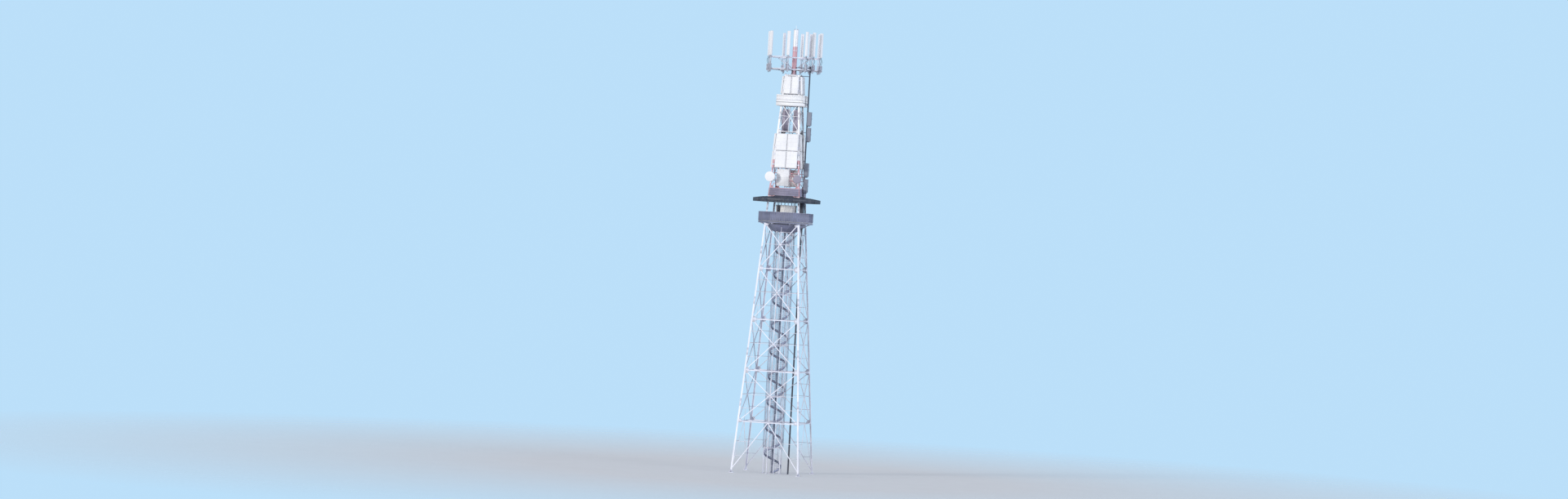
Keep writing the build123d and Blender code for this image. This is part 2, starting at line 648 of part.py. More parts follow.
def roof_sheet():
    """One flat sheet of the roof between two ridge lines, centred on +X."""
    half_deg = 180.0 / ROOF_SIDES
    corners = [(*polar(radius, side * half_deg), sheet_underside(radius))
               for radius, side in ((ROOF_HATCH_RADIUS, -1), (ROOF_RADIUS, -1), (ROOF_RADIUS, 1),
                                    (ROOF_HATCH_RADIUS, 1))]
    return extrude(make_face(Polyline(*corners, close=True)), amount=ROOF_SHEET, dir=(0, 0, 1))


def roof_sheets():
    """The sheets outside the mast, and those inside it, with a slot between for the mast's faces."""
    low = rafter_underside(ROOF_RADIUS) - RAFTER_DEPTH
    high = sheet_underside(0) + RAFTER_DEPTH
    outside = envelope(-SEAT_GAP, low, high)
    inside = envelope(LEG_THICKNESS + MAST_BRACE_DEPTH / COS_BATTER + CUTOUT_CLEARANCE, low, high)
    cable = cable_cutout(low, high)
    shapes = []
    for k in range(ROOF_SIDES):
        sheet = turned(roof_sheet(), 360.0 * (k + 0.5) / ROOF_SIDES)
        shapes += [sheet.cut(outside, cable), sheet & inside]
    return shapes


def roof_fascia():
    """Folded edge all round the roof."""
    apothem = ROOF_RADIUS * math.cos(math.pi / ROOF_SIDES) - FASCIA_THICKNESS
    top = sheet_underside(ROOF_RADIUS)
    bar = ring_bar(apothem, FASCIA_THICKNESS, ROOF_SIDES, top - FASCIA_HEIGHT, top)
    return [turned(bar, 360.0 * (k + 0.5) / ROOF_SIDES) for k in range(ROOF_SIDES)]


# Cable ladder and climbing ladder

def cable_ladder():
    """Two upright rails joined by rungs."""
    side = CABLE_LADDER_RAIL / 2
    edge = CABLE_LADDER_WIDTH / 2
    bars = [box(CABLE_LADDER_X - side, CABLE_LADDER_X + side, y - side, y + side, 0, CABLE_LADDER_TOP_Z)
            for y in (side - edge, edge - side)]
    count = int(CABLE_LADDER_TOP_Z / CABLE_RUNG_PITCH)
    rung = CABLE_RUNG_SIDE / 2
    for k in range(count):
        z = CABLE_RUNG_PITCH * (k + 0.5)
        bars.append(box(CABLE_LADDER_X - rung, CABLE_LADDER_X + rung, -edge, edge, z - rung, z + rung))
    return bars[0].fuse(*bars[1:])


def feeder_cables():
    """Flat bundle of cables clipped to the inner side of the rungs."""
    outer = CABLE_LADDER_X - CABLE_RUNG_SIDE / 2 - SEAT_GAP
    return box(outer - CABLE_RUN_THICKNESS, outer, -CABLE_RUN_WIDTH / 2, CABLE_RUN_WIDTH / 2, 0,
               CABLE_LADDER_TOP_Z)


def junction_boxes():
    """Cable and power boxes on the outer side of the cable ladder."""
    inner = CABLE_LADDER_X + CABLE_LADDER_RAIL / 2 + SEAT_GAP
    shapes = []
    for z in JUNCTION_BOX_HEIGHTS:
        body = box(inner, inner + JUNCTION_BOX_DEPTH, -JUNCTION_BOX_WIDTH / 2, JUNCTION_BOX_WIDTH / 2, z,
                   z + JUNCTION_BOX_HEIGHT)
        shapes.append(chamfer(front_edges(body, Axis.X, Axis.Z), JUNCTION_BOX_EDGE))
    return shapes


def ladder_stays():
    """Bars across the ties that hold the cable ladder below the deck."""
    back = CABLE_LADDER_X + CABLE_LADDER_RAIL / 2 + SEAT_GAP
    reach = (back + STAY_SIDE) * math.tan(math.radians(POST_DEG / 2)) + TIE_SIDE
    return [box(back, back + STAY_SIDE, -reach, reach, z, z + STAY_SIDE)
            for z in [LOWER_BAY * (k + 1) + TIE_SIDE / 2 for k in range(LOWER_BAYS)]]


def ladder_brackets():
    """Pairs of bars that hold the cable ladder off the mast."""
    inner = envelope(LEG_THICKNESS, ROOF_RING_Z, HEAD_Z)
    outer = CABLE_LADDER_X - CABLE_LADDER_RAIL / 2 - SEAT_GAP
    y = (CABLE_LADDER_WIDTH - CABLE_LADDER_RAIL) / 2
    shapes = []
    for z in mast_levels()[2:]:
        for side in (-y, y):
            bar = box(0, outer, side - STAY_SIDE / 2, side + STAY_SIDE / 2, z - STAY_SIDE / 2,
                      z + STAY_SIDE / 2)
            shapes.append(bar - inner)
    return shapes


def mast_ladder():
    """Climbing ladder inside the mast."""
    side = MAST_LADDER_STILE / 2
    edge = MAST_LADDER_WIDTH / 2
    bottom = ROOF_RING_Z - MAST_BRACE_WIDTH / 2
    bars = [box(x - side, x + side, MAST_LADDER_Y - side, MAST_LADDER_Y + side, bottom, HEAD_Z)
            for x in (-edge, edge)]
    rung = MAST_LADDER_RUNG / 2
    for k in range(int((HEAD_Z - bottom) / MAST_LADDER_RUNG_PITCH)):
        z = bottom + MAST_LADDER_RUNG_PITCH * (k + 0.5)
        bars.append(box(-edge, edge, MAST_LADDER_Y - rung, MAST_LADDER_Y + rung, z - rung, z + rung))
    return bars[0].fuse(*bars[1:])


def mast_stays():
    """Bars across the mast that hold the climbing ladder."""
    inside = envelope(LEG_THICKNESS + MAST_BRACE_THICKNESS / COS_BATTER, ROOF_RING_Z - LEG_WIDTH, HEAD_Z)
    front = MAST_LADDER_Y + MAST_LADDER_STILE / 2 + SEAT_GAP
    return [box(-BASE_HALF, BASE_HALF, front, front + STAY_SIDE, z - STAY_SIDE / 3, z + STAY_SIDE / 3) & inside
            for z in mast_levels()]


# Cabinets inside the mast

def cabinet_floor_z():
    """Height of the underside of the cabinets' floor."""
    return mast_level(CABINET_LEVEL) + STAY_SIDE / 3


def cabinet_bearers():
    """Bars across the mast, beside the ladder's own stay, that carry the cabinets' floor."""
    top = cabinet_floor_z()
    inside = envelope(LEG_THICKNESS + MAST_BRACE_THICKNESS / COS_BATTER, top - LEG_WIDTH, top)
    width = STAY_SIDE / 2
    return [box(-BASE_HALF, BASE_HALF, y - width, y + width, top - 2 * STAY_SIDE / 3, top) & inside
            for y in (-CABINET_BEARER_Y, CABINET_BEARER_Y)]


def cabinet_floor():
    """Floor plate inside the bracing, with a hatch for the climber in front of the ladder."""
    low = cabinet_floor_z()
    high = low + CABINET_FLOOR_THICKNESS
    plate = envelope(LEG_THICKNESS + MAST_BRACE_DEPTH / COS_BATTER + CUTOUT_CLEARANCE, low, high)
    x = (MAST_LADDER_WIDTH + MAST_LADDER_STILE) / 2 + CUTOUT_CLEARANCE
    y = MAST_LADDER_Y + MAST_LADDER_STILE / 2 + SEAT_GAP
    return plate - box(-x, x, MAST_LADDER_Y - LADDER_HATCH_DEPTH, y, low, high)


def equipment_cabinets():
    """Two tall cabinets, one on each side of the ladder."""
    floor = cabinet_floor_z() + CABINET_FLOOR_THICKNESS
    near = CABINET_GAP / 2
    body = box(near, near + CABINET_WIDTH, -CABINET_DEPTH / 2, CABINET_DEPTH / 2, floor, floor + CABINET_HEIGHT)
    body = chamfer(body.faces().sort_by(Axis.Z)[-1].edges(), CABINET_EDGE)
    return [body, turned(body, 180)]


# Rest platform, mast head, pole and spike

def rest_platform_z():
    """Height of the top of the arms that carry the rest platform."""
    return mast_levels()[MAST_BAYS] + MAST_BRACE_WIDTH / 2 + REST_ARM_SIDE


def rest_platform_half():
    """Half the width of the rest platform."""
    return half(rest_platform_z()) + REST_PLATFORM_WIDTH


def rest_platform():
    """Four plates round the mast on the arms of its last ring but one."""
    z = rest_platform_z()
    top = z + REST_PLATFORM_THICKNESS
    clear = envelope(-SEAT_GAP, z - REST_ARM_SIDE, top + REST_PLATFORM_THICKNESS)
    side = ring_bar(half(top) / 2, rest_platform_half() - half(top) / 2, len(QUARTERS), z, top) - clear
    return [turned(side, 90 * k) for k in range(len(QUARTERS))]


def platform_arms():
    """Arms that carry the rest platform, bolted on the outside of the legs."""
    top = rest_platform_z()
    z = top - REST_ARM_SIDE
    clear = envelope(0, z - REST_ARM_SIDE, top + REST_ARM_SIDE)
    y = half(z) - LEG_WIDTH / 2
    shapes = []
    for k in range(4):
        for side in (-y, y):
            arm = box(0, rest_platform_half(), side - REST_ARM_SIDE / 2, side + REST_ARM_SIDE / 2, z, top)
            shapes.append(turned(arm - clear, 90 * k))
    return shapes


def platform_rails():
    """Railing on the edge of the rest platform: posts, and outside them a toe board and two rails."""
    floor = rest_platform_z() + REST_PLATFORM_THICKNESS
    inner = rest_platform_half() - REST_RAIL_SIDE
    sides = len(QUARTERS)
    bars = [ring_bar(inner, REST_RAIL_SIDE, sides, floor, floor + REST_TOE_HEIGHT)]
    for share in (0.5, 1.0):
        top = floor + REST_RAIL_HEIGHT * share
        bars.append(ring_bar(inner, REST_RAIL_SIDE, sides, top - REST_RAIL_SIDE, top))
    spacing = 2 * inner / REST_POSTS_PER_SIDE
    for n in range(REST_POSTS_PER_SIDE):
        y = spacing * (n + 0.5) - inner
        bars.append(box(inner - REST_RAIL_SIDE, inner, y - REST_RAIL_SIDE / 2, y + REST_RAIL_SIDE / 2, floor,
                        floor + REST_RAIL_HEIGHT))
    return [turned(bar, 90 * k) for k in range(sides) for bar in bars]


# Arrays of broadcast panels

def array_rails(bottom, rows, panel_height):
    """Level rails on the front legs, two behind each row of panels."""
    pitch = panel_height + ARRAY_PANEL_GAP
    side = ARRAY_RAIL_SIDE / 2
    rails = []
    for row in range(rows):
        for share in (ARRAY_RAIL_SHARE, 1 - ARRAY_RAIL_SHARE):
            z = bottom + row * pitch + share * panel_height
            reach = half(z + side)
            y = z / COS_BATTER
            rails.append(on_face(box(-reach, reach, y - side, y + side, SEAT_GAP, SEAT_GAP + ARRAY_RAIL_SIDE)))
    return rails


def array_panels(bottom, rows, width, panel_height):
    """Two columns of panels with slanted edges on the rails of the front face."""
    near = ARRAY_RAIL_SIDE + 2 * SEAT_GAP
    pitch = panel_height + ARRAY_PANEL_GAP
    panels = []
    for row in range(rows):
        low = (bottom + row * pitch) / COS_BATTER
        for x in (ARRAY_PANEL_GAP / 2, -ARRAY_PANEL_GAP / 2 - width):
            body = box(x, x + width, low, low + panel_height / COS_BATTER, near, near + ARRAY_PANEL_DEPTH)
            panels.append(on_face(chamfer(body.faces().sort_by(Axis.Z)[-1].edges(), ARRAY_PANEL_CHAMFER)))
    return panels


def on_faces(shapes, names):
    """The shapes of the front face, copied to the faces that are named."""
    return [turned(shape, QUARTERS[name]) for name in names for shape in shapes]


def mast_head():
    """Plate that closes the mast and carries the pole."""
    return box(-HEAD_HALF, HEAD_HALF, -HEAD_HALF, HEAD_HALF, HEAD_Z, HEAD_Z + HEAD_PLATE_THICKNESS)


def top_pole():
    """Tube on the mast head, closed at the top."""
    bore = Pos(0, 0, -POLE_WALL) * Cylinder(POLE_RADIUS - POLE_WALL, POLE_LENGTH)
    return Pos(0, 0, HEAD_TOP_Z + POLE_LENGTH / 2) * (Cylinder(POLE_RADIUS, POLE_LENGTH) - bore)


def spike():
    """Lightning rod."""
    return polygon_prism(SPIKE_APOTHEM, PIPE_SIDES, POLE_TOP_Z, POLE_TOP_Z + SPIKE_LENGTH, 0)


def light():
    """One obstruction light with flat sides, standing at the height 0."""
    base = polygon_prism(LIGHT_BASE_APOTHEM, LIGHT_SIDES, 0, LIGHT_BASE_HEIGHT, 0)
    globe = polygon_prism(LIGHT_GLOBE_APOTHEM, LIGHT_SIDES, LIGHT_BASE_HEIGHT,
                          LIGHT_BASE_HEIGHT + LIGHT_GLOBE_HEIGHT, 0)
    return base + chamfer(globe.faces().sort_by(Axis.Z)[-1].edges(), LIGHT_GLOBE_EDGE)


def obstruction_lights():
    """Lights on the head of the pole and on the corners of the mast head."""
    on_pole = POLE_RADIUS - LIGHT_EDGE_DISTANCE
    corner = HEAD_HALF - LIGHT_EDGE_DISTANCE
    lights = [Pos(side * on_pole, 0, POLE_TOP_Z) * light() for side in (-1, 1)]
    return lights + [turned(Pos(corner, corner, HEAD_TOP_Z) * light(), 90 * k) for k in range(4)]


# Crown of panel antennas

def crown_arms():
    """Arms from the pole to the boom of each sector, at both levels."""
    side = CROWN_BAR_SIDE / 2
    return [turned(box(POLE_RADIUS, CROWN_REACH - side, -side, side, z - side, z + side), heading)
            for heading, places in CROWN_SECTORS for z in CROWN_LEVELS]


def crown_booms():
    """Level booms across the ends of the arms."""
    side = CROWN_BAR_SIDE / 2
    edge = CROWN_BOOM_LENGTH / 2
    return [turned(box(CROWN_REACH - side, CROWN_REACH + side, -edge, edge, z - side, z + side), heading)
            for heading, places in CROWN_SECTORS for z in CROWN_LEVELS]


def on_each_pipe(shape):
    """Copies of a shape made at the middle pipe of a sector, one for each pipe of the crown."""
    return [turned(Pos(0, CROWN_PIPE_SPACING * n, 0) * shape, heading)
            for heading, places in CROWN_SECTORS for n in places]


def crown_pipes():
    """Upright pipes on the outside of the booms."""
    x = CROWN_REACH + CROWN_BAR_SIDE / 2 + CROWN_PIPE_APOTHEM
    top = CROWN_PIPE_BOTTOM_Z + CROWN_PIPE_LENGTH
    pipe = Pos(x, 0, 0) * polygon_prism(CROWN_PIPE_APOTHEM, PIPE_SIDES, CROWN_PIPE_BOTTOM_Z, top, 0)
    return on_each_pipe(pipe)


def pipe_box(width, depth, lift, height):
    """Box on the outside of the middle pipe of a sector, at a height above the foot of the pipe."""
    x = CROWN_REACH + CROWN_BAR_SIDE / 2 + 2 * CROWN_PIPE_APOTHEM
    bottom = CROWN_PIPE_BOTTOM_Z + lift
    return box(x, x + depth, -width / 2, width / 2, bottom, bottom + height)


def panel_antennas():
    """Tall panel antennas with slanted front edges."""
    panel = pipe_box(PANEL_WIDTH, PANEL_DEPTH, PANEL_LIFT, PANEL_HEIGHT)
    return on_each_pipe(chamfer(front_edges(panel, Axis.X, Axis.Z), PANEL_DEPTH / 3))


def radio_units():
    """Radio boxes below the panel antennas."""
    body = pipe_box(RADIO_WIDTH, RADIO_DEPTH, RADIO_LIFT, RADIO_HEIGHT)
    return on_each_pipe(chamfer(front_edges(body, Axis.X, Axis.Z), RADIO_EDGE))


# Microwave dishes

def dish_place(side, z):
    """Plan position of the mounting pipe beside a front leg."""
    return (side * (half(z) - LEG_WIDTH / 2), -half(z) - DISH_PIPE_STANDOFF)


def dish(side, z, radius):
    """Drum-shaped dish that faces -Y, with its hub on the pipe."""
    x, y = dish_place(side, z)
    back = DISH_HUB_DEPTH + DISH_PIPE_APOTHEM
    rear = back + radius * DISH_BACK_RATIO
    front = rear + DISH_DRUM_DEPTH
    outline = Polyline((0, DISH_PIPE_APOTHEM), (DISH_HUB_RADIUS, DISH_PIPE_APOTHEM), (DISH_HUB_RADIUS, back),
                       (radius, rear), (radius, front), (0, front), close=True)
    drum = revolve(Plane.XY * make_face(outline), Axis.Y)
    return Pos(x, y, z) * Rot(0, 0, 180) * drum


def dish_mount(side, z):
    """Upright pipe with two arms from the leg."""
    x, y = dish_place(side, z)
    clear = envelope(0, z - DISH_PIPE_LENGTH, z + DISH_PIPE_LENGTH)
    reach = DISH_ARM_SIDE / 2
    pipe = polygon_prism(DISH_PIPE_APOTHEM, PIPE_SIDES, z - DISH_PIPE_LENGTH / 2, z + DISH_PIPE_LENGTH / 2, 90)
    arms = [box(x - reach, x + reach, y, 0, level - reach, level + reach) - clear
            for level in (z - DISH_PIPE_LENGTH / 3, z + DISH_PIPE_LENGTH / 3)]
    return (Pos(x, y, 0) * pipe).fuse(*arms)


os.makedirs("parts", exist_ok=True)

plate = base_plate()
write("base_plates", [turned(plate, 90 * k) for k in range(4)] + [newel_plate()] + post_plates())

corner_leg = leg()
for name, degrees in (("back_right", 0), ("back_left", 90), ("front_left", 180), ("front_right", 270)):
    write("leg_" + name, [turned(corner_leg, degrees)])

lower_face = lower_lattice()
upper_face = upper_lattice()
for name, degrees in QUARTERS.items():
    write("lower_lattice_" + name, [turned(lower_face, degrees)])
    write("upper_lattice_" + name, [turned(upper_face, degrees)])
write("foot_braces", foot_braces())
write("shaft_ties", ties())

write("newel", [newel()])
for number in range(1, math.ceil((STEP_COUNT - 1) / STEPS_PER_FLIGHT) + 1):
    write(f"stair_flight_{number}", flight(number))
write("shaft_posts", shaft_posts())
write("shaft_hoops", shaft_hoops())

write("deck_beams", deck_beams())
write("deck_struts", deck_struts())
write("deck_soffit", deck_soffit())
write("deck_floor", [deck_floor(), top_landing()])
write("parapet_sheets", parapet_sheets())
write("parapet_posts", parapet_posts())
write("parapet_rail", parapet_rail())
write("stair_enclosure", stair_enclosure())

write("roof_rafters", roof_rafters())
write("roof_sheets", roof_sheets())
write("roof_fascia", roof_fascia())

write("cable_ladder", [cable_ladder()])
write("feeder_cables", [feeder_cables()])
write("mast_ladder", [mast_ladder()])
write("ladder_supports", ladder_stays() + ladder_brackets() + mast_stays())
write("junction_boxes", junction_boxes())
write("cabinet_floor", [cabinet_floor()] + cabinet_bearers())
write("equipment_cabinets", equipment_cabinets())
write("rest_platform", rest_platform())
write("platform_arms", platform_arms())
write("platform_rails", platform_rails())

low_rails = array_rails(LOW_ARRAY_BOTTOM_Z, LOW_ARRAY_ROWS, LOW_PANEL_HEIGHT)
top_rails = array_rails(TOP_ARRAY_BOTTOM_Z, TOP_ARRAY_ROWS, TOP_PANEL_HEIGHT)
low_panels = array_panels(LOW_ARRAY_BOTTOM_Z, LOW_ARRAY_ROWS, LOW_PANEL_WIDTH, LOW_PANEL_HEIGHT)
top_panels = array_panels(TOP_ARRAY_BOTTOM_Z, TOP_ARRAY_ROWS, TOP_PANEL_WIDTH, TOP_PANEL_HEIGHT)
free_faces = ("front", "back", "left")
write("array_rails", on_faces(low_rails, free_faces) + on_faces(top_rails, QUARTERS))
write("broadcast_panels", on_faces(low_panels, free_faces) + on_faces(top_panels, QUARTERS))

write("mast_head", [mast_head()])
write("top_pole", [top_pole()])
write("lightning_spike", [spike()])
write("obstruction_lights", obstruction_lights())
write("crown_arms", crown_arms())
write("crown_booms", crown_booms())
write("crown_pipes", crown_pipes())
write("panel_antennas", panel_antennas())
write("radio_units", radio_units())

write("microwave_dishes", [dish(*place) for place in DISHES])
write("dish_mounts", [dish_mount(side, z) for side, z, radius in DISHES])
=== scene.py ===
import json
import math

import bpy
import numpy as np
from mathutils import Matrix, Vector


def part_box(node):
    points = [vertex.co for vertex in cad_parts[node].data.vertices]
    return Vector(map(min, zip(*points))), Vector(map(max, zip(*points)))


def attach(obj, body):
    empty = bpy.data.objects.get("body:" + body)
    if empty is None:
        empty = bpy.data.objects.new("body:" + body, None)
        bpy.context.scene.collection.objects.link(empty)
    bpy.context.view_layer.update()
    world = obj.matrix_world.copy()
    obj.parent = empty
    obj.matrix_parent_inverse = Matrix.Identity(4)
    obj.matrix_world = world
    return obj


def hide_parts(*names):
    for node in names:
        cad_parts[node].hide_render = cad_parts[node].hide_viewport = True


bl_info = {
    "name": "Observation tower dressing",
    "version": (1, 0, 0),
    "blender": (4, 5, 0),
    "location": "3D View > Sidebar > Tower",
    "description": "Dresses the packed observation tower with fittings, finishes and a plain stage",
    "category": "Object",
}

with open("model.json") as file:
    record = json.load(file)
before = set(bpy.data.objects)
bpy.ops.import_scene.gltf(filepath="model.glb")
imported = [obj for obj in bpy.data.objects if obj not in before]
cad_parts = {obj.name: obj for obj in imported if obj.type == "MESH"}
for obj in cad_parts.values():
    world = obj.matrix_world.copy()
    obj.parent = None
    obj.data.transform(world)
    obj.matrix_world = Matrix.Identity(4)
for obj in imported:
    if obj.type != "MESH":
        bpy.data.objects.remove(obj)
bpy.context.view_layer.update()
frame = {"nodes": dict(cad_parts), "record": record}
NODES = frame["nodes"]

# The tower in metres, as in the part: the legs lean in evenly from the ground to the mast head
HEIGHT = 30.0
BASE_HALF = 2.330
HEAD_HALF = 0.510
HEAD_Z = 26.660
BATTER = (BASE_HALF - HEAD_HALF) / HEAD_Z
COS_BATTER = 1.0 / math.hypot(1.0, BATTER)
LEG_WIDTH = 0.110
LEG_THICKNESS = 0.012
INSET = -LEG_THICKNESS - 0.0005
FOOT_PLACE = 2.275
LOWER_RINGS = (3.420, 6.840, 10.260, 13.680, 16.700)
MAST_RINGS = (18.450, 19.080, 20.975, 22.870, 24.765, 26.641)
# Heights of the leg splices, and the stair with its shaft
SPLICES = (4.70, 8.10, 11.52, 14.90, 17.85, 20.20, 23.95)
RISER = 16.840 / 178
STEP_DEG = 20.0
FIRST_DEG = -90.0
LAST_STEP = 177
FLIGHT_STEPS = 36
STAIR_EDGE = 0.583
NEWEL_RADIUS = 0.0605
LANDING_DEG = 267.0
POST_RADIUS = 0.620
HOOP_APOTHEM = 0.640
HOOP_FACE = HOOP_APOTHEM + 0.0155
HOOPS = np.append(1.71 * np.arange(1, 9), 16.15)
# The deck and the roof
DECK_Z = 16.840
DECK_APOTHEM = 1.718
DECK_BEAMS = (16.725, 16.805)
PARAPET_TOP = 17.472
SOFFIT = ((0.7759, 16.1904), (1.5252, 16.6590))
SOFFIT_CROSSING = 16.480
ROOF_RADIUS = 2.300
ROOF_PEAK = 18.7168
ROOF_SLOPE = math.tan(math.radians(8.5))
# The cable ladder and what stands in the mast
CABLE_X = 1.0999
GROUND = 0.0005
CABLE_TOP = 27.300
BOX_LEVELS = (18.860, 19.930, 22.300, 23.350)
CABINETS = (22.892, 24.332)
# The crown: each sector has its heading and its places on the boom
HEAD_TOP = 26.680
POLE_TOP = 29.700
POLE_RADIUS = 0.160
SECTORS = ((-28.0, (-1, 0, 1)), (62.0, (-1, 0, 1)), (152.0, (-1, 1)), (242.0, (-1, 1)))
CROWN_LEVELS = (27.050, 27.850)
PIPE_X = 1.558
PIPE_SPACING = 0.760
PIPE_BOTTOM = 26.850
PIPE_LENGTH = 2.710
BOOM_X = 1.500
BOOM_HALF = 0.850
RADIO_X = 1.640
RADIO = (26.965, 27.355)
ANTENNA = (27.945, 29.536)
# Dishes: side, height and radius. Arrays: foot, rows, width, height and faces
DISHES = ((-1, 19.820, 0.330), (1, 19.700, 0.260))
ARRAYS = ((20.430, 2, 0.740, 1.130, (0, 180, 270)), (25.390, 1, 0.480, 1.190, (0, 90, 180, 270)))
ARRAY_GAP = 0.030
# Directions, and turns about Z in degrees
X = np.array([1.0, 0.0, 0.0])
FRONT = np.array([0.0, -1.0, 0.0])
UP = np.array([0.0, 0.0, 1.0])
FACE_OUT = np.array([0.0, -1.0, BATTER]) * COS_BATTER
FACE_UP = np.array([0.0, BATTER, 1.0]) * COS_BATTER
SIDES = (-1, 1)
QUARTERS = (0, 90, 180, 270)
# The signs of the four corners of a bolt pattern
ROWS = np.array([-1, -1, 1, 1])
COLUMNS = np.array([-1, 1, -1, 1])
POSTS = 22.5 + 45.0 * np.arange(8)
RIDGES = 22.5 * np.arange(16)


# Shapes. A shape is a pair: an array of points, and a list of arrays of faces that all have as many corners

def vec(*rows):
    """An array of 3-D points."""
    return np.array(rows, dtype=float).reshape(-1, 3)


def at(x, y, z):
    """Points from their coordinates. A single number goes with every value of the others."""
    return np.stack(np.broadcast_arrays(*[np.asarray(v, float) for v in (x, y, z)]), axis=-1).reshape(-1, 3)


def polar(radius, degrees, z):
    """Points round Z: (r cos a, r sin a, z)."""
    radius, a = np.asarray(radius, float), np.radians(np.asarray(degrees, float))
    return at(radius * np.cos(a), radius * np.sin(a), z)


def half(z):
    """Half the tower's width at height z: the half width at the ground less the batter times z."""
    return BASE_HALF - BATTER * np.asarray(z, dtype=float)


def on_face(x, z, out):
    """Points of the front face: across x, at height z, and a distance out along the face's normal."""
    x, z, out = at(x, z, out).T
    return at(x, -half(z), z) + out[:, None] * FACE_OUT


def unit(v):
    """Vectors divided by their lengths."""
    return v / np.linalg.norm(v, axis=-1, keepdims=True)


def repeated(faces, count, size):
    """The faces of a shape of so many points, once for each copy of it."""
    step = (np.arange(count) * size)[:, None, None]
    return [(f[None] + step).reshape(-1, f.shape[1]) for f in faces]


def join(*shapes):
    """One shape from several: the points end to end, the face numbers moved on by the points before them."""
    points, faces, base = [], [], 0
    for verts, polys in shapes:
        points.append(verts)
        faces += [f + base for f in polys]
        base += len(verts)
    return np.concatenate(points), faces


def copies(shape, places, frames=np.eye(3)[None]):
    """The shape at many places at once: point = place + shape point times the place's three axes."""
    verts, polys = shape
    spread = places[:, None, :] + np.einsum("vk,nkj->nvj", verts, frames)
    return spread.reshape(-1, 3), repeated(polys, len(places), len(verts))


def moved(shape, x, y, z):
    """The shape moved by one offset."""
    return shape[0] + np.array([x, y, z]), shape[1]


def spin(degrees):
    """Rows of axes turned about Z by each angle: (cos a, sin a, 0), (-sin a, cos a, 0) and (0, 0, 1)."""
    x, y = polar(1, np.atleast_1d(degrees), 0), polar(1, np.atleast_1d(degrees) + 90.0, 0)
    return np.stack([x, y, 0 * x + UP], axis=1)


def around(shape, degrees):
    """The shape turned about Z, once for each of the angles."""
    frames = spin(degrees)
    return copies(shape, np.zeros((len(frames), 3)), frames)


def facing(out, up=UP):
    """Rows of axes that stand a shape's Z on out, with its Y near up."""
    out = unit(vec(out))
    x = unit(np.cross(up, out))
    return np.stack([x, np.cross(out, x), out], axis=1)


def rectangle(width, depth):
    """Outline of a rectangle centred on the line that it is carried along."""
    w, d = width / 2, depth / 2
    return [(-w, -d), (w, -d), (w, d), (-w, d)]


def trapezoid(wide, narrow, low, high):
    """Outline of a rib: half its width at the foot and at the head, and the heights of the two."""
    return [(-wide, low), (wide, low), (narrow, high), (-narrow, high)]


def angle_outline(width, depth, thickness):
    """Outline of an angle section, its flat leg outwards and the other leg inwards at one edge."""
    w, t = width / 2, thickness
    return [(-w, -depth), (t - w, -depth), (t - w, -t), (w, -t), (w, 0), (-w, 0)]


def circle(radius, sides):
    """Outline of a circle: radius times (cos t, sin t)."""
    return polar(radius, np.arange(sides) * 360.0 / sides, 0)[:, :2]


def skin(rings, loop=False):
    """The surface over a stack of rings of points: quads between neighbours and one face over each end, or
    with loop the last ring joined to the first."""
    m, k = rings.shape[:2]
    s, i = np.meshgrid(np.arange(m if loop else m - 1), np.arange(k), indexing="ij")
    t, j = (s + 1) % m, (i + 1) % k
    faces = [np.stack([s * k + i, s * k + j, t * k + j, t * k + i], axis=-1).reshape(-1, 4)]
    if not loop:
        faces.append(np.stack([np.arange(k)[::-1], (m - 1) * k + np.arange(k)]))
    return rings.reshape(-1, 3), faces


def section(run, normal, outline):
    """The outline at each point of a run: u side + v normal, with side square to the run and the normal."""
    n = np.broadcast_to(normal, run.shape)
    n = unit(n - (n * run).sum(axis=1, keepdims=True) * run)
    u, v = np.array(outline, float).T[:, :, None]
    return u * np.cross(n, run)[:, None, :] + v * n[:, None, :]


def members(start, end, normal, outline):
    """Many straight members at once. Point = start + t (end - start) + u side + v normal, with t at 0 and 1,
    (u, v) round the outline and side square to the run and the normal. Both ends are closed."""
    a, b = np.broadcast_arrays(start, end)
    ring = section(unit(b - a), normal, outline)
    rings = np.stack([a[:, None] + ring, b[:, None] + ring], axis=1)
    return rings.reshape(-1, 3), repeated(skin(rings[0])[1], len(a), 2 * len(outline))


def span(x, y, z):
    """The two ends of straight members from their coordinates. A tuple is a value at the start and one at the
    end, and a list or an array has one value for each member."""
    starts, ends = zip(*[v if isinstance(v, tuple) else (v, v) for v in (x, y, z)])
    ends = np.stack(np.broadcast_arrays(*[np.asarray(v, float) for v in starts + ends]), axis=-1)
    return ends[..., :3].reshape(-1, 3), ends[..., 3:].reshape(-1, 3)


def straight(x, y, z, normal, outline):
    """Straight members of any section between the ends of span."""
    return members(*span(x, y, z), normal, outline)


def bar(x, y, z, normal, width, height):
    """Straight bars of a rectangular section between the ends of span."""
    return straight(x, y, z, normal, rectangle(width, height))


def rod(x, y, z, normal, radius, sides):
    """Straight rods of a round section between the ends of span."""
    return straight(x, y, z, normal, circle(radius, sides))


def rib(x, y, z, normal, wide, narrow, low, high):
    """Straight ribs of a trapezoid section between the ends of span."""
    return straight(x, y, z, normal, trapezoid(wide, narrow, low, high))


def flat(x, z, out, outline, normal=FACE_OUT):
    """Members on the front face between ends as in span, given across, up and out of the face."""
    start, end = span(x, z, out)
    return members(on_face(*start.T), on_face(*end.T), normal, outline)


def ring(apothem, corners, z, width, height, gap=0.0):
    """Bars between the corners of a regular ring: the corners lie at apothem / cos(180 / sides)."""
    reach = apothem / math.cos(math.pi / len(corners))
    points = polar(reach, np.append(corners, corners[0]), z)
    run = unit(points[1:] - points[:-1])
    return members(points[:-1] + gap * run, points[1:] - gap * run, UP, rectangle(width, height))


def sweep(path, normal, outline):
    """One bent member: the outline carried along a path of points, its second axis on the normal of each
    point and its first axis square to the path and the normal. Both ends are closed."""
    return skin(path[:, None] + section(unit(np.gradient(path, axis=0)), normal, outline))


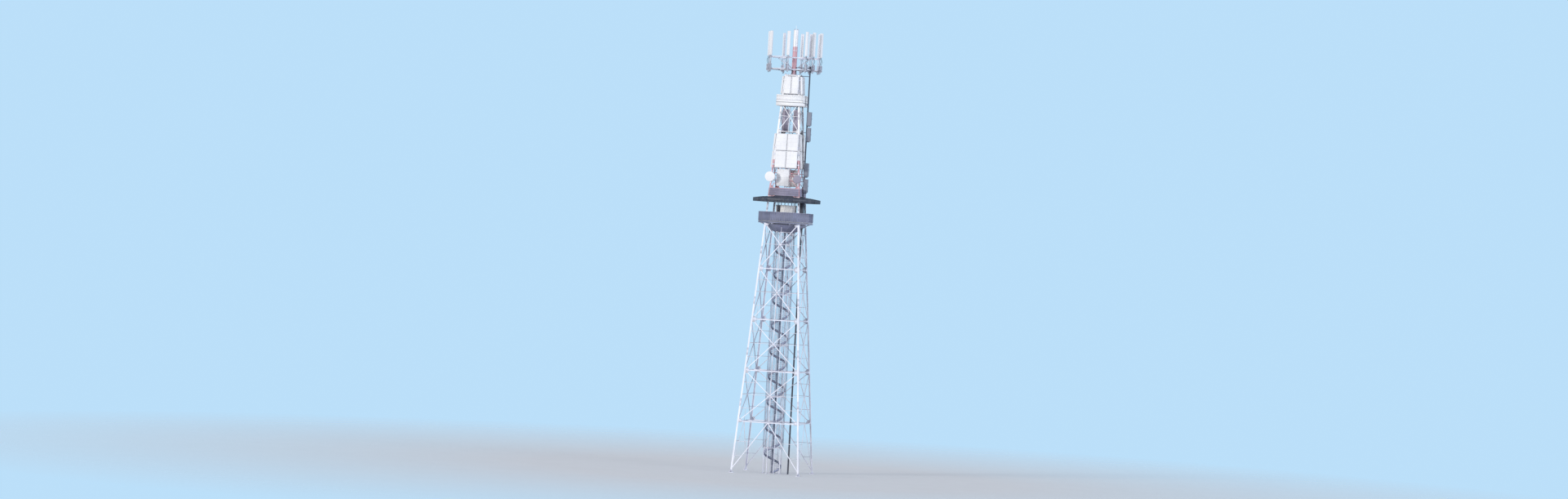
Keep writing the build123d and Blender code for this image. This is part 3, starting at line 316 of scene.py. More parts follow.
def bent(points, count, normal, outline):
    """A member swept along a smooth line led by control points, a quadratic B-spline with its ends on the
    first and last point: (a P0 + b P1 + c P2) with a = (1 - t)^2 / 2, c = t^2 / 2 and b = 1 - a - c."""
    points = vec(*points)
    p = np.concatenate([[2 * points[0] - points[1]], points, [2 * points[-1] - points[-2]]])
    u = np.linspace(0.5, len(p) - 2.5, count)
    first = np.minimum(u.astype(int), len(p) - 3)
    t = (u - first)[:, None]
    a, c = (1 - t) ** 2 / 2, t ** 2 / 2
    return sweep(a * p[first] + (1 - a - c) * p[first + 1] + c * p[first + 2], normal, outline)


def lathe(profile, sides, loop=False):
    """A turned shape on Z: point = (r cos t, r sin t, h) for each (r, h) of the profile, closed at both ends,
    or with loop from the last (r, h) to the first."""
    r, h = np.array(profile, float).T[:, :, None]
    return skin(polar(r, np.arange(sides) * 360.0 / sides, h).reshape(len(profile), sides, 3), loop)


def tube(inner, outer, low, high):
    """A ring on Z between two radii and two heights."""
    return lathe([(inner, low), (outer, low), (outer, high), (inner, high)], 40, loop=True)


def bolt(size):
    """A hexagon bolt head with a rounded crown on Z, its seat at the height 0."""
    return lathe([(size * 1.25, 0), (size * 1.25, size * 0.15), (size, size * 0.16), (size, size * 0.72),
                  (size * 0.72, size * 0.85)], 6)


def heads(size, places, out=FACE_OUT, up=UP):
    """Bolt heads at the places, all facing one way."""
    return copies(bolt(size), np.vstack(places), facing(out, up))


# Finishes. Every pattern reads Object coordinates in metres of the model

FINISHES = {}
SLOTS = {
    "steel": "galvanised_steel", "banded": "galvanised_steel", "ladder": "galvanised_steel",
    "tread": "grating_steel", "dark": "dark_paint", "roof": "dark_paint", "skirt": "dark_paint",
    "antenna": "antenna_shell", "small_dish": "antenna_shell", "radio": "radio_shell",
    "crown_radio": "radio_shell", "cable": "cable_jacket", "lamp": "lamp_glass", "white": "white_paint",
    "cabinet": "cabinet_paint",
}
CAD_FINISHES = {
    "galvanised_steel": "steel", "grating_steel": "grating", "dark_paint": "dark", "banded_paint": "banded",
    "antenna_shell": "antenna", "radio_shell": "radio", "cable_jacket": "cable", "lamp_glass": "lamp",
    "white_paint": "white", "cabinet_paint": "cabinet",
}
NODE_FINISHES = {
    "roof_sheets": "roof", "roof_fascia": "roof", "deck_struts": "dark", "cable_ladder": "ladder",
    "ladder_supports": "ladder", "newel": "ladder", "radio_units": "crown_radio",
}


def piece(name, finish, *shapes, slot=None, smooth=False):
    """The shapes as one finished piece that rides on the tower, its arrays put in a mesh at the origin.
    The slot argument, and the finish's slot worked out in its place, are not used."""
    verts, polys = join(*shapes)
    if not np.isfinite(verts).all():
        raise RuntimeError("a point of %s is not a number" % name)
    mesh = bpy.data.meshes.new(name)
    counts = np.concatenate([np.full(len(f), f.shape[1]) for f in polys])
    corners = np.concatenate([f.reshape(-1) for f in polys])
    mesh.vertices.add(len(verts))
    mesh.vertices.foreach_set("co", np.ascontiguousarray(verts, dtype=np.float32).reshape(-1))
    mesh.loops.add(len(corners))
    mesh.loops.foreach_set("vertex_index", corners.astype(np.int32))
    mesh.polygons.add(len(counts))
    mesh.polygons.foreach_set("loop_start", (np.cumsum(counts) - counts).astype(np.int32))
    mesh.polygons.foreach_set("loop_total", counts.astype(np.int32))
    mesh.update(calc_edges=True)
    mesh.validate()
    if smooth:
        mesh.shade_smooth()
        mesh.set_sharp_from_angle(angle=math.radians(35))
    mesh.materials.append(FINISHES[finish])
    obj = bpy.data.objects.new(name, mesh)
    bpy.context.scene.collection.objects.link(obj)
    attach(obj, "root")
    slot = slot or SLOTS[finish]
    return obj


class Graph:
    """A node tree, built link by link."""

    def __init__(self, tree):
        self.tree = tree
        tree.nodes.clear()

    def put(self, node, inputs):
        """Numbers, colours or links on the inputs of a node."""
        for name, value in inputs.items():
            if isinstance(value, bpy.types.NodeSocket):
                self.tree.links.new(value, node.inputs[name])
            else:
                node.inputs[name].default_value = value

    def node(self, kind, inputs, **settings):
        """One node with its settings and inputs. Returns its outputs."""
        node = self.tree.nodes.new(kind)
        for name, value in settings.items():
            setattr(node, name, value)
        self.put(node, inputs)
        return node.outputs

    def math(self, kind, a, b=0.0):
        """One Math node."""
        return self.node("ShaderNodeMath", {0: a, 1: b}, operation=kind)[0]


class Finish(Graph):
    """One material: its shader and the patterns that feed it."""

    def __init__(self, name):
        self.material = bpy.data.materials.new(name)
        self.material.use_nodes = True
        super().__init__(self.material.node_tree)
        self.shader = self.tree.nodes.new("ShaderNodeBsdfPrincipled")
        self.node("ShaderNodeOutputMaterial", {0: self.shader.outputs[0]})
        self.place = self.node("ShaderNodeTexCoord", {})["Object"]

    def stretch(self, x, y, z):
        """The place scaled by its own factor on each axis, so that a noise on it runs in streaks."""
        return self.node("ShaderNodeMapping", {"Scale": (x, y, z), "Vector": self.place})[0]

    def noise(self, scale, detail=3.0, rough=0.55, place=None):
        """Noise from 0 to 1."""
        inputs = {"Vector": place or self.place, "Scale": scale, "Detail": detail, "Roughness": rough}
        return self.node("ShaderNodeTexNoise", inputs)["Fac"]

    def cells(self, scale):
        """A random number for each cell, as on zinc spangle."""
        cell = self.node("ShaderNodeTexVoronoi", {"Vector": self.place, "Scale": scale})["Color"]
        return self.node("ShaderNodeSeparateColor", {0: cell})[0]

    def axis(self, index):
        """One coordinate of the place."""
        return self.node("ShaderNodeSeparateXYZ", {0: self.place})[index]

    def spread(self, value, low, high, to_low=0.0, to_high=1.0):
        """The value mapped from one range to another and clamped."""
        inputs = {"Value": value, "From Min": low, "From Max": high, "To Min": to_low, "To Max": to_high}
        return self.node("ShaderNodeMapRange", inputs, clamp=True)["Result"]

    def mix(self, amount, a, b):
        """Two colours mixed."""
        return self.node("ShaderNodeMix", {0: amount, 6: a, 7: b}, data_type="RGBA")[2]

    def bands(self, value, stops):
        """Colours in bands with hard edges: the last stop below the value gives the colour."""
        node = self.tree.nodes.new("ShaderNodeValToRGB")
        node.color_ramp.interpolation = "CONSTANT"
        ramp = node.color_ramp.elements
        while len(ramp) > 1:
            ramp.remove(ramp[-1])
        ramp[0].position, ramp[0].color = stops[0]
        for place, colour in stops[1:]:
            ramp.new(place).color = colour
        self.put(node, {0: value})
        return node.outputs[0]

    def bump(self, height, strength, distance):
        """Relief from a height."""
        inputs = {"Strength": strength, "Distance": distance, "Height": height}
        self.put(self.shader, {"Normal": self.node("ShaderNodeBump", inputs)[0]})

    def done(self, colour, roughness, metallic=0.0, more=()):
        """Set the shader and return the material."""
        self.put(self.shader, {"Base Color": colour, "Roughness": roughness, "Metallic": metallic})
        self.put(self.shader, dict(more))
        return self.material


def rgba(colour, factor=1.0):
    """A colour with its alpha, made lighter or darker."""
    return tuple(min(1.0, c * factor) for c in colour[:3]) + (1.0,)


def weathered(finish, colour, streak, grime):
    """Rain streaks down the faces and soft stains laid over a colour."""
    stains = finish.spread(finish.noise(0.55, 4.0, 0.6), 0.42, 0.68)
    colour = finish.mix(finish.math("MULTIPLY", stains, grime), colour, (0.16, 0.15, 0.14, 1.0))
    runs = finish.spread(finish.noise(1.0, 5.0, 0.65, finish.stretch(16.0, 16.0, 0.9)), 0.52, 0.74)
    return finish.mix(finish.math("MULTIPLY", runs, streak), colour, (0.20, 0.17, 0.15, 1.0))


def zinc(name, steel, bands=None):
    """Hot-dip galvanised steel with spangle, dull patches, rain streaks and a little rust, painted in warning
    bands above the roof where the colours of the bands are given."""
    finish = Finish(name)
    patches = finish.spread(finish.noise(1.3, 4.0), 0.32, 0.68)
    base = finish.mix(patches, rgba(steel, 0.88), rgba(steel, 1.12))
    spangle = finish.cells(42.0)
    base = finish.mix(finish.math("MULTIPLY", spangle, 0.22), base, rgba(steel, 1.25))
    if bands:
        edge = finish.spread(finish.noise(9.0, 2.0), 0.0, 1.0, -0.008, 0.008)
        level = finish.math("DIVIDE", finish.math("ADD", finish.axis(2), edge), HEIGHT)
        red, white = rgba(bands[0]), rgba(bands[1])
        stops = ((0.0, white), (18.400, red), (20.975, white), (26.690, red), (28.550, white))
        paint = finish.bands(level, [(z / HEIGHT, c) for z, c in stops])
        fade = finish.spread(finish.noise(3.1, 4.0), 0.30, 0.72, 0.0, 0.22)
        paint = finish.mix(fade, paint, (0.90, 0.82, 0.80, 1.0))
        covered = finish.math("GREATER_THAN", level, stops[1][0] / HEIGHT)
        chipped = finish.math("GREATER_THAN", finish.noise(38.0, 6.0, 0.7), 0.325)
        base = finish.mix(finish.math("MULTIPLY", covered, chipped), base, paint)
    rust = finish.spread(finish.noise(6.5, 7.0, 0.72), 0.66, 0.74)
    base = finish.mix(finish.math("MULTIPLY", rust, 0.55), base, (0.27, 0.12, 0.06, 1.0))
    colour = weathered(finish, base, 0.20, 0.14)
    grain = finish.math("ADD", finish.math("MULTIPLY", spangle, 0.35), finish.noise(160.0, 3.0))
    finish.bump(grain, 0.18, 0.002)
    return finish.done(colour, finish.spread(patches, 0.0, 1.0, 0.42, 0.62), 0.25)


def grating(name, steel, pitch):
    """Open steel grating: bars and cross bars at their pitch, from zigzags of X and Y, with painted shade in
    the holes between them.
    """
    finish = Finish(name)
    bars = finish.math("LESS_THAN", finish.math("PINGPONG", finish.axis(0), pitch / 2), pitch * 0.12)
    rods = finish.math("LESS_THAN", finish.math("PINGPONG", finish.axis(1), pitch), pitch * 0.10)
    solid = finish.math("MAXIMUM", bars, rods)
    patches = finish.noise(1.8, 4.0)
    top = finish.mix(patches, rgba(steel, 0.8), rgba(steel, 1.25))
    # Painted shade: the holes between the bars get a dark copy of the steel colour
    colour = finish.mix(solid, rgba(steel, 0.22), top)
    finish.bump(solid, 0.7, 0.006)
    colour = weathered(finish, colour, 0.18, 0.22)
    return finish.done(colour, finish.spread(patches, 0.3, 0.7, 0.45, 0.7), 0.25)


def paint(name, base, gloss, streak, grime, chips):
    """Sprayed paint: tone patches, rain streaks, stains, orange peel and chips down to grey primer."""
    finish = Finish(name)
    tone = finish.spread(finish.noise(0.9, 5.0), 0.3, 0.7)
    colour = finish.mix(tone, rgba(base, 0.88), rgba(base, 1.10))
    chip = finish.math("GREATER_THAN", finish.noise(34.0, 6.0, 0.7), 1.0 - chips)
    colour = finish.mix(chip, colour, (0.36, 0.30, 0.27, 1.0))
    colour = weathered(finish, colour, streak, grime)
    finish.bump(finish.noise(240.0, 2.0), 0.10, 0.001)
    return finish.done(colour, finish.spread(finish.noise(2.6, 3.0), 0.3, 0.7, gloss - 0.08, gloss + 0.12))


def dusty_paint(name, base, gloss):
    """Dark paint with pale dust that gathers in broad patches and in runs below the edges."""
    finish = Finish(name)
    tone = finish.spread(finish.noise(1.1, 5.0), 0.3, 0.7)
    colour = finish.mix(tone, rgba(base, 0.75), rgba(base, 1.35))
    dust = finish.spread(finish.noise(1.0, 5.0, 0.6, finish.stretch(5.0, 5.0, 1.2)), 0.48, 0.75, 0.0, 0.30)
    colour = finish.mix(dust, colour, (0.34, 0.33, 0.34, 1.0))
    finish.bump(finish.noise(200.0, 3.0), 0.12, 0.0015)
    return finish.done(colour, finish.spread(dust, 0.0, 0.30, gloss, gloss + 0.25))


def shell(name, base):
    """Glass-fibre antenna covers: chalky white plastic with faint grain, grey runs and soft stains."""
    finish = Finish(name)
    tone = finish.spread(finish.noise(0.8, 4.0), 0.3, 0.7)
    colour = finish.mix(tone, rgba(base, 0.95), rgba(base, 1.03))
    colour = weathered(finish, colour, 0.13, 0.07)
    finish.bump(finish.noise(320.0, 2.0), 0.08, 0.001)
    return finish.done(colour, finish.spread(finish.noise(5.0, 4.0), 0.3, 0.7, 0.45, 0.62))


def jacket(name, base):
    """Black cable sheath, matt and slightly grooved round the cable, greyed by the sun."""
    finish = Finish(name)
    faded = finish.spread(finish.noise(0.7, 4.0), 0.35, 0.7)
    colour = finish.mix(faded, rgba(base), rgba(base, 2.1))
    finish.bump(finish.noise(1.0, 2.0, 0.5, finish.stretch(8.0, 8.0, 90.0)), 0.2, 0.001)
    return finish.done(colour, finish.spread(faded, 0.0, 1.0, 0.5, 0.72))


def lamp_glass(name, base):
    """Red signal glass: clear and glossy with moulding ripples and a film of dirt."""
    finish = Finish(name)
    film = finish.spread(finish.noise(22.0, 4.0), 0.45, 0.75, 0.0, 0.35)
    colour = finish.mix(film, rgba(base), (0.30, 0.16, 0.13, 1.0))
    finish.bump(finish.noise(60.0, 2.0), 0.10, 0.001)
    return finish.done(colour, finish.spread(film, 0.0, 0.35, 0.10, 0.45),
                       more={"Transmission Weight": 0.35, "IOR": 1.5})


# What a user can change

def colour(name, description, *default):
    """A colour of the tower."""
    return bpy.props.FloatVectorProperty(name=name, description=description, subtype="COLOR", size=3, min=0.0,
                                         max=1.0, default=default)


def length(name, description, default, low, high):
    """A length of a fitting, in metres."""
    return bpy.props.FloatProperty(name=name, description=description, default=default, min=low, max=high,
                                   unit="LENGTH")


def count(name, description, default, low, high):
    """A number of like pieces."""
    return bpy.props.IntProperty(name=name, description=description, default=default, min=low, max=high)


class TowerColours(bpy.types.PropertyGroup):
    """Colours of the tower's finishes."""

    steel: colour("Galvanised steel", "Zinc on legs, bracing and stair", 0.73, 0.73, 0.81)
    grating: colour("Grating", "Floors and treads", 0.36, 0.37, 0.40)
    band_red: colour("Band red", "Red warning bands of the mast", 0.62, 0.33, 0.37)
    band_white: colour("Band white", "White warning bands of the mast", 0.86, 0.84, 0.86)
    dark: colour("Deck", "Dark paint of parapet, beams and struts", 0.165, 0.175, 0.26)
    # On the cable duct this near-black is painted shade under the roof's edge; on the roof it is the roof's
    # own dark paint
    roof: colour("Roof", "Dark paint of the roof and the cable duct", 0.035, 0.04, 0.06)
    antenna: colour("Antenna covers", "Panels, large dish and covers", 0.88, 0.88, 0.90)
    # The small dish's dark grey-mauve cover is painted shade of the mast's right side
    small_dish: colour("Small dish", "Cover of the small dish", 0.30, 0.28, 0.36)
    stair: colour("Stair", "Treads and string, and darker on newel and cable ladder", 0.29, 0.31, 0.42)
    skirt: colour("Louvre screen", "Boards round the foot of the mast", 0.30, 0.28, 0.38)
    white: colour("White paint", "Stair enclosure and platform rails", 0.96, 0.96, 0.99)
    cabinet: colour("Cabinets", "Cabinets inside the mast", 0.46, 0.42, 0.51)
    radio: colour("Boxes", "Junction boxes", 0.22, 0.24, 0.30)
    crown_radio: colour("Radio units", "Radio units of the crown", 0.56, 0.58, 0.66)
    cable: colour("Cables", "Cable sheath", 0.05, 0.05, 0.06)
    lamp: colour("Warning lights", "Glass of the warning lights", 0.60, 0.05, 0.04)
    floor: colour("Floor", "Floor of the stage", 0.94, 0.94, 0.94)


class TowerSizes(bpy.types.PropertyGroup):
    """Sizes of the fittings."""

    bolt: length("Bolt head", "Radius of a structural bolt head", 0.011, 0.004, 0.02)
    handrail_height: length("Handrail height", "Handrail above the treads", 0.47, 0.35, 0.6)
    handrail_radius: length("Handrail radius", "Radius of the handrail tube", 0.011, 0.006, 0.014)
    stringer_height: length("Stringer height", "Plate round the outer ends of the treads", 0.15, 0.08, 0.22)
    tread_bars: count("Bars in a tread", "Radial bars in each grating tread", 9, 3, 16)
    cable_radius: length("Cable radius", "Radius of a feeder cable", 0.0105, 0.005, 0.0118)
    cable_count: count("Cables", "Feeder cables side by side", 8, 2, 8)
    rib_pitch: length("Rib pitch", "Spacing of the ribs on the parapet sheets", 0.12, 0.06, 0.3)


class TOWER_OT_finishes(bpy.types.Operator):
    """Make the finishes and give each carried-over part its own"""

    bl_idname = "tower.finishes"
    bl_label = "Finishes"

    def execute(self, context):
        c = context.scene.tower_colours
        FINISHES.update({
            "steel": zinc("galvanised_steel", c.steel),
            "banded": zinc("banded_steel", c.steel, (c.band_red, c.band_white)),
            "grating": grating("grating_steel", c.grating, 0.044),
            "tread": zinc("tread_steel", c.stair),
            "ladder": zinc("ladder_steel", rgba(c.stair, 0.32)),
            "skirt": dusty_paint("skirt_paint", c.skirt, 0.50),
            "crown_radio": paint("crown_radio", c.crown_radio, 0.50, 0.18, 0.10, 0.26),
            # Painted shade: the small dish's cover is dark to stand for the shade at the mast's right
            "small_dish": shell("small_dish_shade_shell", c.small_dish),
            "dark": dusty_paint("dark_paint", c.dark, 0.45),
            "roof": dusty_paint("roof_paint", c.roof, 0.50),
            "antenna": shell("antenna_shell", c.antenna),
            "white": paint("white_paint", c.white, 0.42, 0.08, 0.04, 0.18),
            "cabinet": paint("cabinet_paint", c.cabinet, 0.40, 0.22, 0.12, 0.28),
            "radio": paint("radio_shell", c.radio, 0.50, 0.18, 0.10, 0.26),
            "cable": jacket("cable_jacket", c.cable),
            "lamp": lamp_glass("lamp_glass", c.lamp),
        })
        slots = {row["node"]: row["material_slot"] for row in frame["record"]["subparts"]}
        for name, node in NODES.items():
            key = "banded" if name.startswith("leg_") else NODE_FINISHES.get(name, CAD_FINISHES[slots[name]])
            node.data.materials.clear()
            node.data.materials.append(FINISHES[key])
        return {"FINISHED"}


def crossing(levels):
    """Heights where the two diagonals of each bay cross: the bay is shared out in proportion to its widths at
    the bottom and the top."""
    z = np.array(levels)
    w = half(z) - LEG_WIDTH / 2
    return z[:-1] + np.diff(z) * w[:-1] / (w[:-1] + w[1:])


def gusset_plates(levels, reach, rise):
    """Plates where the bracing meets the legs, on the front face, and the places of their bolts. The outline
    is a rectangle on the leg with its free corners cut, carried through the plate's thickness."""
    plates, spots = [], []
    z = np.array(levels)
    width = 2 * (half(z) - LEG_WIDTH / 2)
    slope = np.diff(z) / ((width[1:] + width[:-1]) / 2)
    for side in SIDES:
        lean = BATTER * side
        for level, above, below in zip(z, np.append(slope, slope[-1]), np.append(slope[0], slope)):
            bottom = -0.06 if level == levels[0] else -0.9 * rise
            top = 0.02 if level == levels[-1] else rise
            outline = [(-side * 0.001 - lean * top, top), (-side * reach * 0.5, top),
                       (-side * reach, top * 0.35), (-side * reach, bottom * 0.35),
                       (-side * reach * 0.5, bottom), (-side * 0.001 - lean * bottom, bottom)]
            x = side * (half(level) - LEG_WIDTH)
            plates.append(flat(x, level, (-LEG_THICKNESS, -0.001), outline[::side], FACE_UP))
            dots = [(-0.045, 0.0), (-0.105, 0.0)]
            for dx in (-0.035, -0.085):
                run = LEG_WIDTH / 2 - dx
                dots += [(dx, dy) for dy in (above * run, -below * run) if bottom < dy - 0.02 < top - 0.04]
            dx, dy = np.array(dots).T
            spots.append(on_face(x + side * dx, level + dy, -0.001))
            flange = side * np.array([0.032, 0.075, 0.075])
            spots.append(on_face(x + flange, level + np.array([0.0, 0.06, -0.06]), 0.0))
    return join(*plates), np.concatenate(spots)


class TOWER_OT_gussets(bpy.types.Operator):
    """Gusset plates and bolts at the joints of the legs and the bracing"""

    bl_idname = "tower.gussets"
    bl_label = "Gusset plates"

    def execute(self, context):
        size = context.scene.tower_sizes.bolt
        low_plates, low_spots = gusset_plates(LOWER_RINGS, 0.235, 0.21)
        high_plates, high_spots = gusset_plates(MAST_RINGS, 0.165, 0.15)
        lower, upper = crossing(LOWER_RINGS), crossing(MAST_RINGS)[1:]
        rosettes = [flat(0, z, (-LEG_THICKNESS, 0.008 - LEG_THICKNESS), circle(radius, 8), FACE_UP)
                    for z, radius in ((lower, 0.105), (upper, 0.075))]
        centre = np.append(lower, upper)[:, None]
        cross = on_face([0, 0.05, -0.05, 0.05, -0.05], centre + [0, 0.045, 0.045, -0.045, -0.045], -0.004)
        bolts = join(heads(size, [low_spots, high_spots]), heads(size * 0.9, cross))
        piece("gusset_plates", "banded", around(join(low_plates, high_plates, *rosettes), QUARTERS))
        piece("bracing_bolts", "banded", around(bolts, QUARTERS))
        return {"FINISHED"}


class TOWER_OT_splices(bpy.types.Operator):
    """Cover plates with bolts where the lengths of the legs are joined"""

    bl_idname = "tower.splices"
    bl_label = "Leg splices"

    def execute(self, context):
        z = np.array(SPLICES)
        tall = 0.24
        shapes, spots = [], []
        for side in SIDES:
            x = side * (half(z) - LEG_WIDTH / 2 - 0.004)
            lean = side * BATTER
            shapes.append(flat((x + lean * tall, x - lean * tall), (z - tall, z + tall), 0.0045,
                               rectangle(0.086, 0.009)))
            spots += [on_face(x + across - lean * row, z + row, 0.009)
                      for row in (-0.19, -0.11, -0.04, 0.04, 0.11, 0.19) for across in (-0.022, 0.022)]
        shapes.append(heads(context.scene.tower_sizes.bolt, spots))
        piece("leg_splices", "banded", around(join(*shapes), QUARTERS))
        return {"FINISHED"}


def inner_legs(levels, depth, width, thickness):
    """The inner legs of the crossed diagonals of one face, square to their flat legs at one edge. A diagonal
    runs from (-x0, z0) to (x1, z1); its inner leg is cut back at both ends, and at the crossing in one of the
    two. An upright hanger joins the rings above and below each crossing, or ends below the deck's soffit."""
    z = np.array(levels)
    x = half(z) - LEG_WIDTH / 2
    cross = crossing(levels)
    middle = on_face(0, cross, -LEG_THICKNESS)
    w = width / 2
    outline = [(w - thickness, -depth), (w, -depth), (w, -thickness), (w - thickness, -thickness)]
    shapes = []
    for side in SIDES:
        low = on_face(-side * x[:-1], z[:-1], -LEG_THICKNESS)
        high = on_face(side * x[1:], z[1:], -LEG_THICKNESS)
        run = unit(high - low)
        start, end = low + 0.12 * run, high - 0.12 * run
        if side > 0:
            shapes.append(members(start, end, FACE_OUT, outline))
        else:
            shapes.append(members(start, middle - 0.05 * run, FACE_OUT, outline))
            shapes.append(members(middle + 0.05 * run, end, FACE_OUT, outline))
    light = angle_outline(width * 0.7, depth * 0.7, thickness * 0.8)
    gap = w + 0.002
    top = np.where(z[1:] == LOWER_RINGS[-1], SOFFIT_CROSSING, z[1:] - gap)
    shapes += [flat(0, ends, INSET, light) for ends in ((z[:-1] + gap, cross - 0.06), (cross + 0.06, top))]
    return join(*shapes)


class TOWER_OT_inner_legs(bpy.types.Operator):
    """Inner legs of the diagonals, which are flat bars in the part, and fine hangers"""

    bl_idname = "tower.inner_legs"
    bl_label = "Inner legs of the bracing"

    def execute(self, context):
        lower = inner_legs(LOWER_RINGS, 0.040, 0.050, 0.006)
        upper = inner_legs(MAST_RINGS, 0.030, 0.038, 0.005)
        piece("bracing_legs", "banded", around(join(lower, upper), QUARTERS))
        return {"FINISHED"}


class TOWER_OT_sub_bracing(bpy.types.Operator):
    """Light angles that halve the long panels of the tower body"""

    bl_idname = "tower.sub_bracing"
    bl_label = "Light bracing"

    def execute(self, context):
        lower = crossing(LOWER_RINGS)
        low, high = np.array(LOWER_RINGS[:-1]), np.array(LOWER_RINGS[1:])
        foot, start = np.array([1.15, 2.10]), 0.26
        brace = (half(start) - LEG_WIDTH / 2) * (1 - (foot - start) / (LOWER_RINGS[0] - start))
        rows = ((np.append(lower, crossing(MAST_RINGS)[1:]), 0.10),
                ((low + lower) / 2, half(low) / 2 + 0.02),
                ((high + lower) / 2, half(high) / 2 + 0.02),
                (foot, brace + 0.03))
        shapes = [flat((side * (half(z) - 0.05), side * x), z, INSET, angle_outline(0.030, 0.026, 0.004))
                  for side in SIDES for z, x in rows]
        piece("light_bracing", "banded", around(join(*shapes), QUARTERS))
        return {"FINISHED"}


class TOWER_OT_feet(bpy.types.Operator):
    """Anchor bolts with nuts and washers, and ribs between the legs and their plates"""

    bl_idname = "tower.feet"
    bl_label = "Feet"

    def execute(self, context):
        stud = lathe([(0.009, 0.001), (0.009, 0.088), (0.0065, 0.092)], 10)
        washer = lathe([(0.022, 0.025), (0.022, 0.029)], 16)
        nut = lathe([(0.0165, 0.0), (0.018, 0.002), (0.018, 0.014), (0.0155, 0.016)], 6)
        anchor = join(stud, washer, moved(nut, 0, 0, 0.029), moved(nut, 0, 0, 0.047))
        corners = at(ROWS, COLUMNS, 0)
        places = [FOOT_PLACE * leg + 0.1 * corners for leg in corners] + [0.12 * corners]
        piece("anchor_bolts", "steel", copies(anchor, np.vstack(places)), smooth=True)
        x = np.outer(SIDES, BASE_HALF - np.array([0.03, 0.085])).reshape(-1)
        ribs = straight((x - 0.005, x + 0.005), 0, 0, UP,
                        [(-2.402, 0.025), (-2.3295, 0.025), (-2.3170, 0.200), (-2.330, 0.200)])
        fins = straight(0, (-0.004, 0.004), 0, UP,
                        [(-0.130, 0.020), (-NEWEL_RADIUS, 0.020), (-NEWEL_RADIUS, 0.14), (-0.075, 0.14)])
        piece("foot_ribs", "steel", around(join(ribs, fins), QUARTERS))
        return {"FINISHED"}


def step_angle(n):
    """Angle of a step in degrees: the first angle plus the step number times the angle of a step."""
    return FIRST_DEG + np.asarray(n, float) * STEP_DEG


def helix(lift, first, last, per_step, outline):
    """An outline carried up the stair's edge, along (r cos a, r sin a, riser * n + lift) for the step n."""
    n = np.linspace(first, last, int((last - first) * per_step) + 1)
    return sweep(polar(STAIR_EDGE, step_angle(n), RISER * n + lift), polar(1, step_angle(n), 0), outline)


class TOWER_OT_treads(bpy.types.Operator):
    """Open grating treads in the place of the plain ones: a frame, radial bars and cross bars"""

    bl_idname = "tower.treads"
    bl_label = "Grating treads"

    def execute(self, context):
        back, nose, inner, outer = 10.0, -13.0, NEWEL_RADIUS, 0.565
        middle = (back + nose) / 2
        reach = outer / math.cos(math.radians(back - middle))
        angles = np.linspace(nose, back, context.scene.tower_sizes.tread_bars + 2)[1:-1]
        rings = [0.13, 0.20, 0.27, 0.34, 0.41, 0.48, 0.53]
        tip = reach * 0.995
        tread = join(
            members(polar([inner, inner, tip], [nose + 0.6, back - 0.6, nose], -0.009),
                    polar([reach, reach, tip], [nose + 0.2, back - 0.2, back], -0.009), UP,
                    rectangle(0.005, 0.018)),
            members(polar(inner, angles, -0.007),
                    polar(outer / np.cos(np.radians(angles - middle)), angles, -0.007), UP,
                    rectangle(0.003, 0.012)),
            members(polar(rings, nose, -0.005), polar(rings, back, -0.005), UP, rectangle(0.004, 0.005)),
            members(polar(inner + 0.02, nose + 1.6, -0.0015), polar(reach - 0.01, nose + 1.6, -0.0015), UP,
                    rectangle(0.026, 0.003)),
            members(polar(inner + 0.002, nose, -0.009), polar(inner + 0.002, back, -0.009), UP,
                    rectangle(0.008, 0.018)))
        for flight in range(5):
            first = flight * FLIGHT_STEPS + 1
            n = np.arange(first, min(first + FLIGHT_STEPS - 1, LAST_STEP) + 1)
            steps = copies(tread, at(0, 0, RISER * n), spin(step_angle(n)))
            obj = piece("grating_treads_%d" % (flight + 1), "tread", steps)
            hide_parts("stair_flight_%d" % (flight + 1))
        return {"FINISHED"}


class TOWER_OT_stair_rail(bpy.types.Operator):
    """Stringer, handrail, knee rails and balusters of the stair, newel collars and landing rail"""

    bl_idname = "tower.stair_rail"
    bl_label = "Stair railing"

    def execute(self, context):
        s = context.scene.tower_sizes
        tall = s.handrail_height
        piece("stair_stringer", "tread",
              helix(s.stringer_height * 0.06, 0.85, 177.35, 3, rectangle(s.stringer_height, 0.006)))
        rail = helix(tall, 0.35, 177.0, 3, circle(s.handrail_radius, 8))
        knees = [helix(tall * share, 0.35, 177.0, 2, circle(0.006, 6)) for share in (0.45, 0.72)]
        n = np.arange(1, LAST_STEP + 1)
        a = step_angle(n - 0.15)
        foot = polar(STAIR_EDGE, a, RISER * (n - 0.15) + 0.02)
        posts = members(foot, foot + (tall - 0.02) * UP, polar(1, a, 0), circle(0.0065, 6))
        piece("stair_handrail", "steel", rail, *knees, posts, smooth=True)
        collar = lathe([(NEWEL_RADIUS, 0.0), (0.067, 0.0), (0.067, 0.03), (NEWEL_RADIUS, 0.03)], 20)
        cap = lathe([(0.058, 0.0), (0.066, 0.004), (0.066, 0.012), (0.045, 0.03), (0.015, 0.038)], 24)
        piece("newel_collars", "tread", copies(collar, at(0, 0, RISER * n - 0.05)),
              moved(cap, 0, 0, PARAPET_TOP + 0.008), smooth=True)
        levels = DECK_Z + np.array([0.12, 0.26, 0.39, 0.50])
        rails = members(polar(0.075, LANDING_DEG, levels), polar(0.635, LANDING_DEG, levels), UP,
                        circle(0.008, 8))
        places = [0.10, 0.35, 0.60]
        stands = members(polar(places, LANDING_DEG, DECK_Z), polar(places, LANDING_DEG, levels[-1]),
                         polar(1, LANDING_DEG, 0), circle(0.009, 8))
        piece("landing_rail", "white", rails, stands, smooth=True)
        return {"FINISHED"}


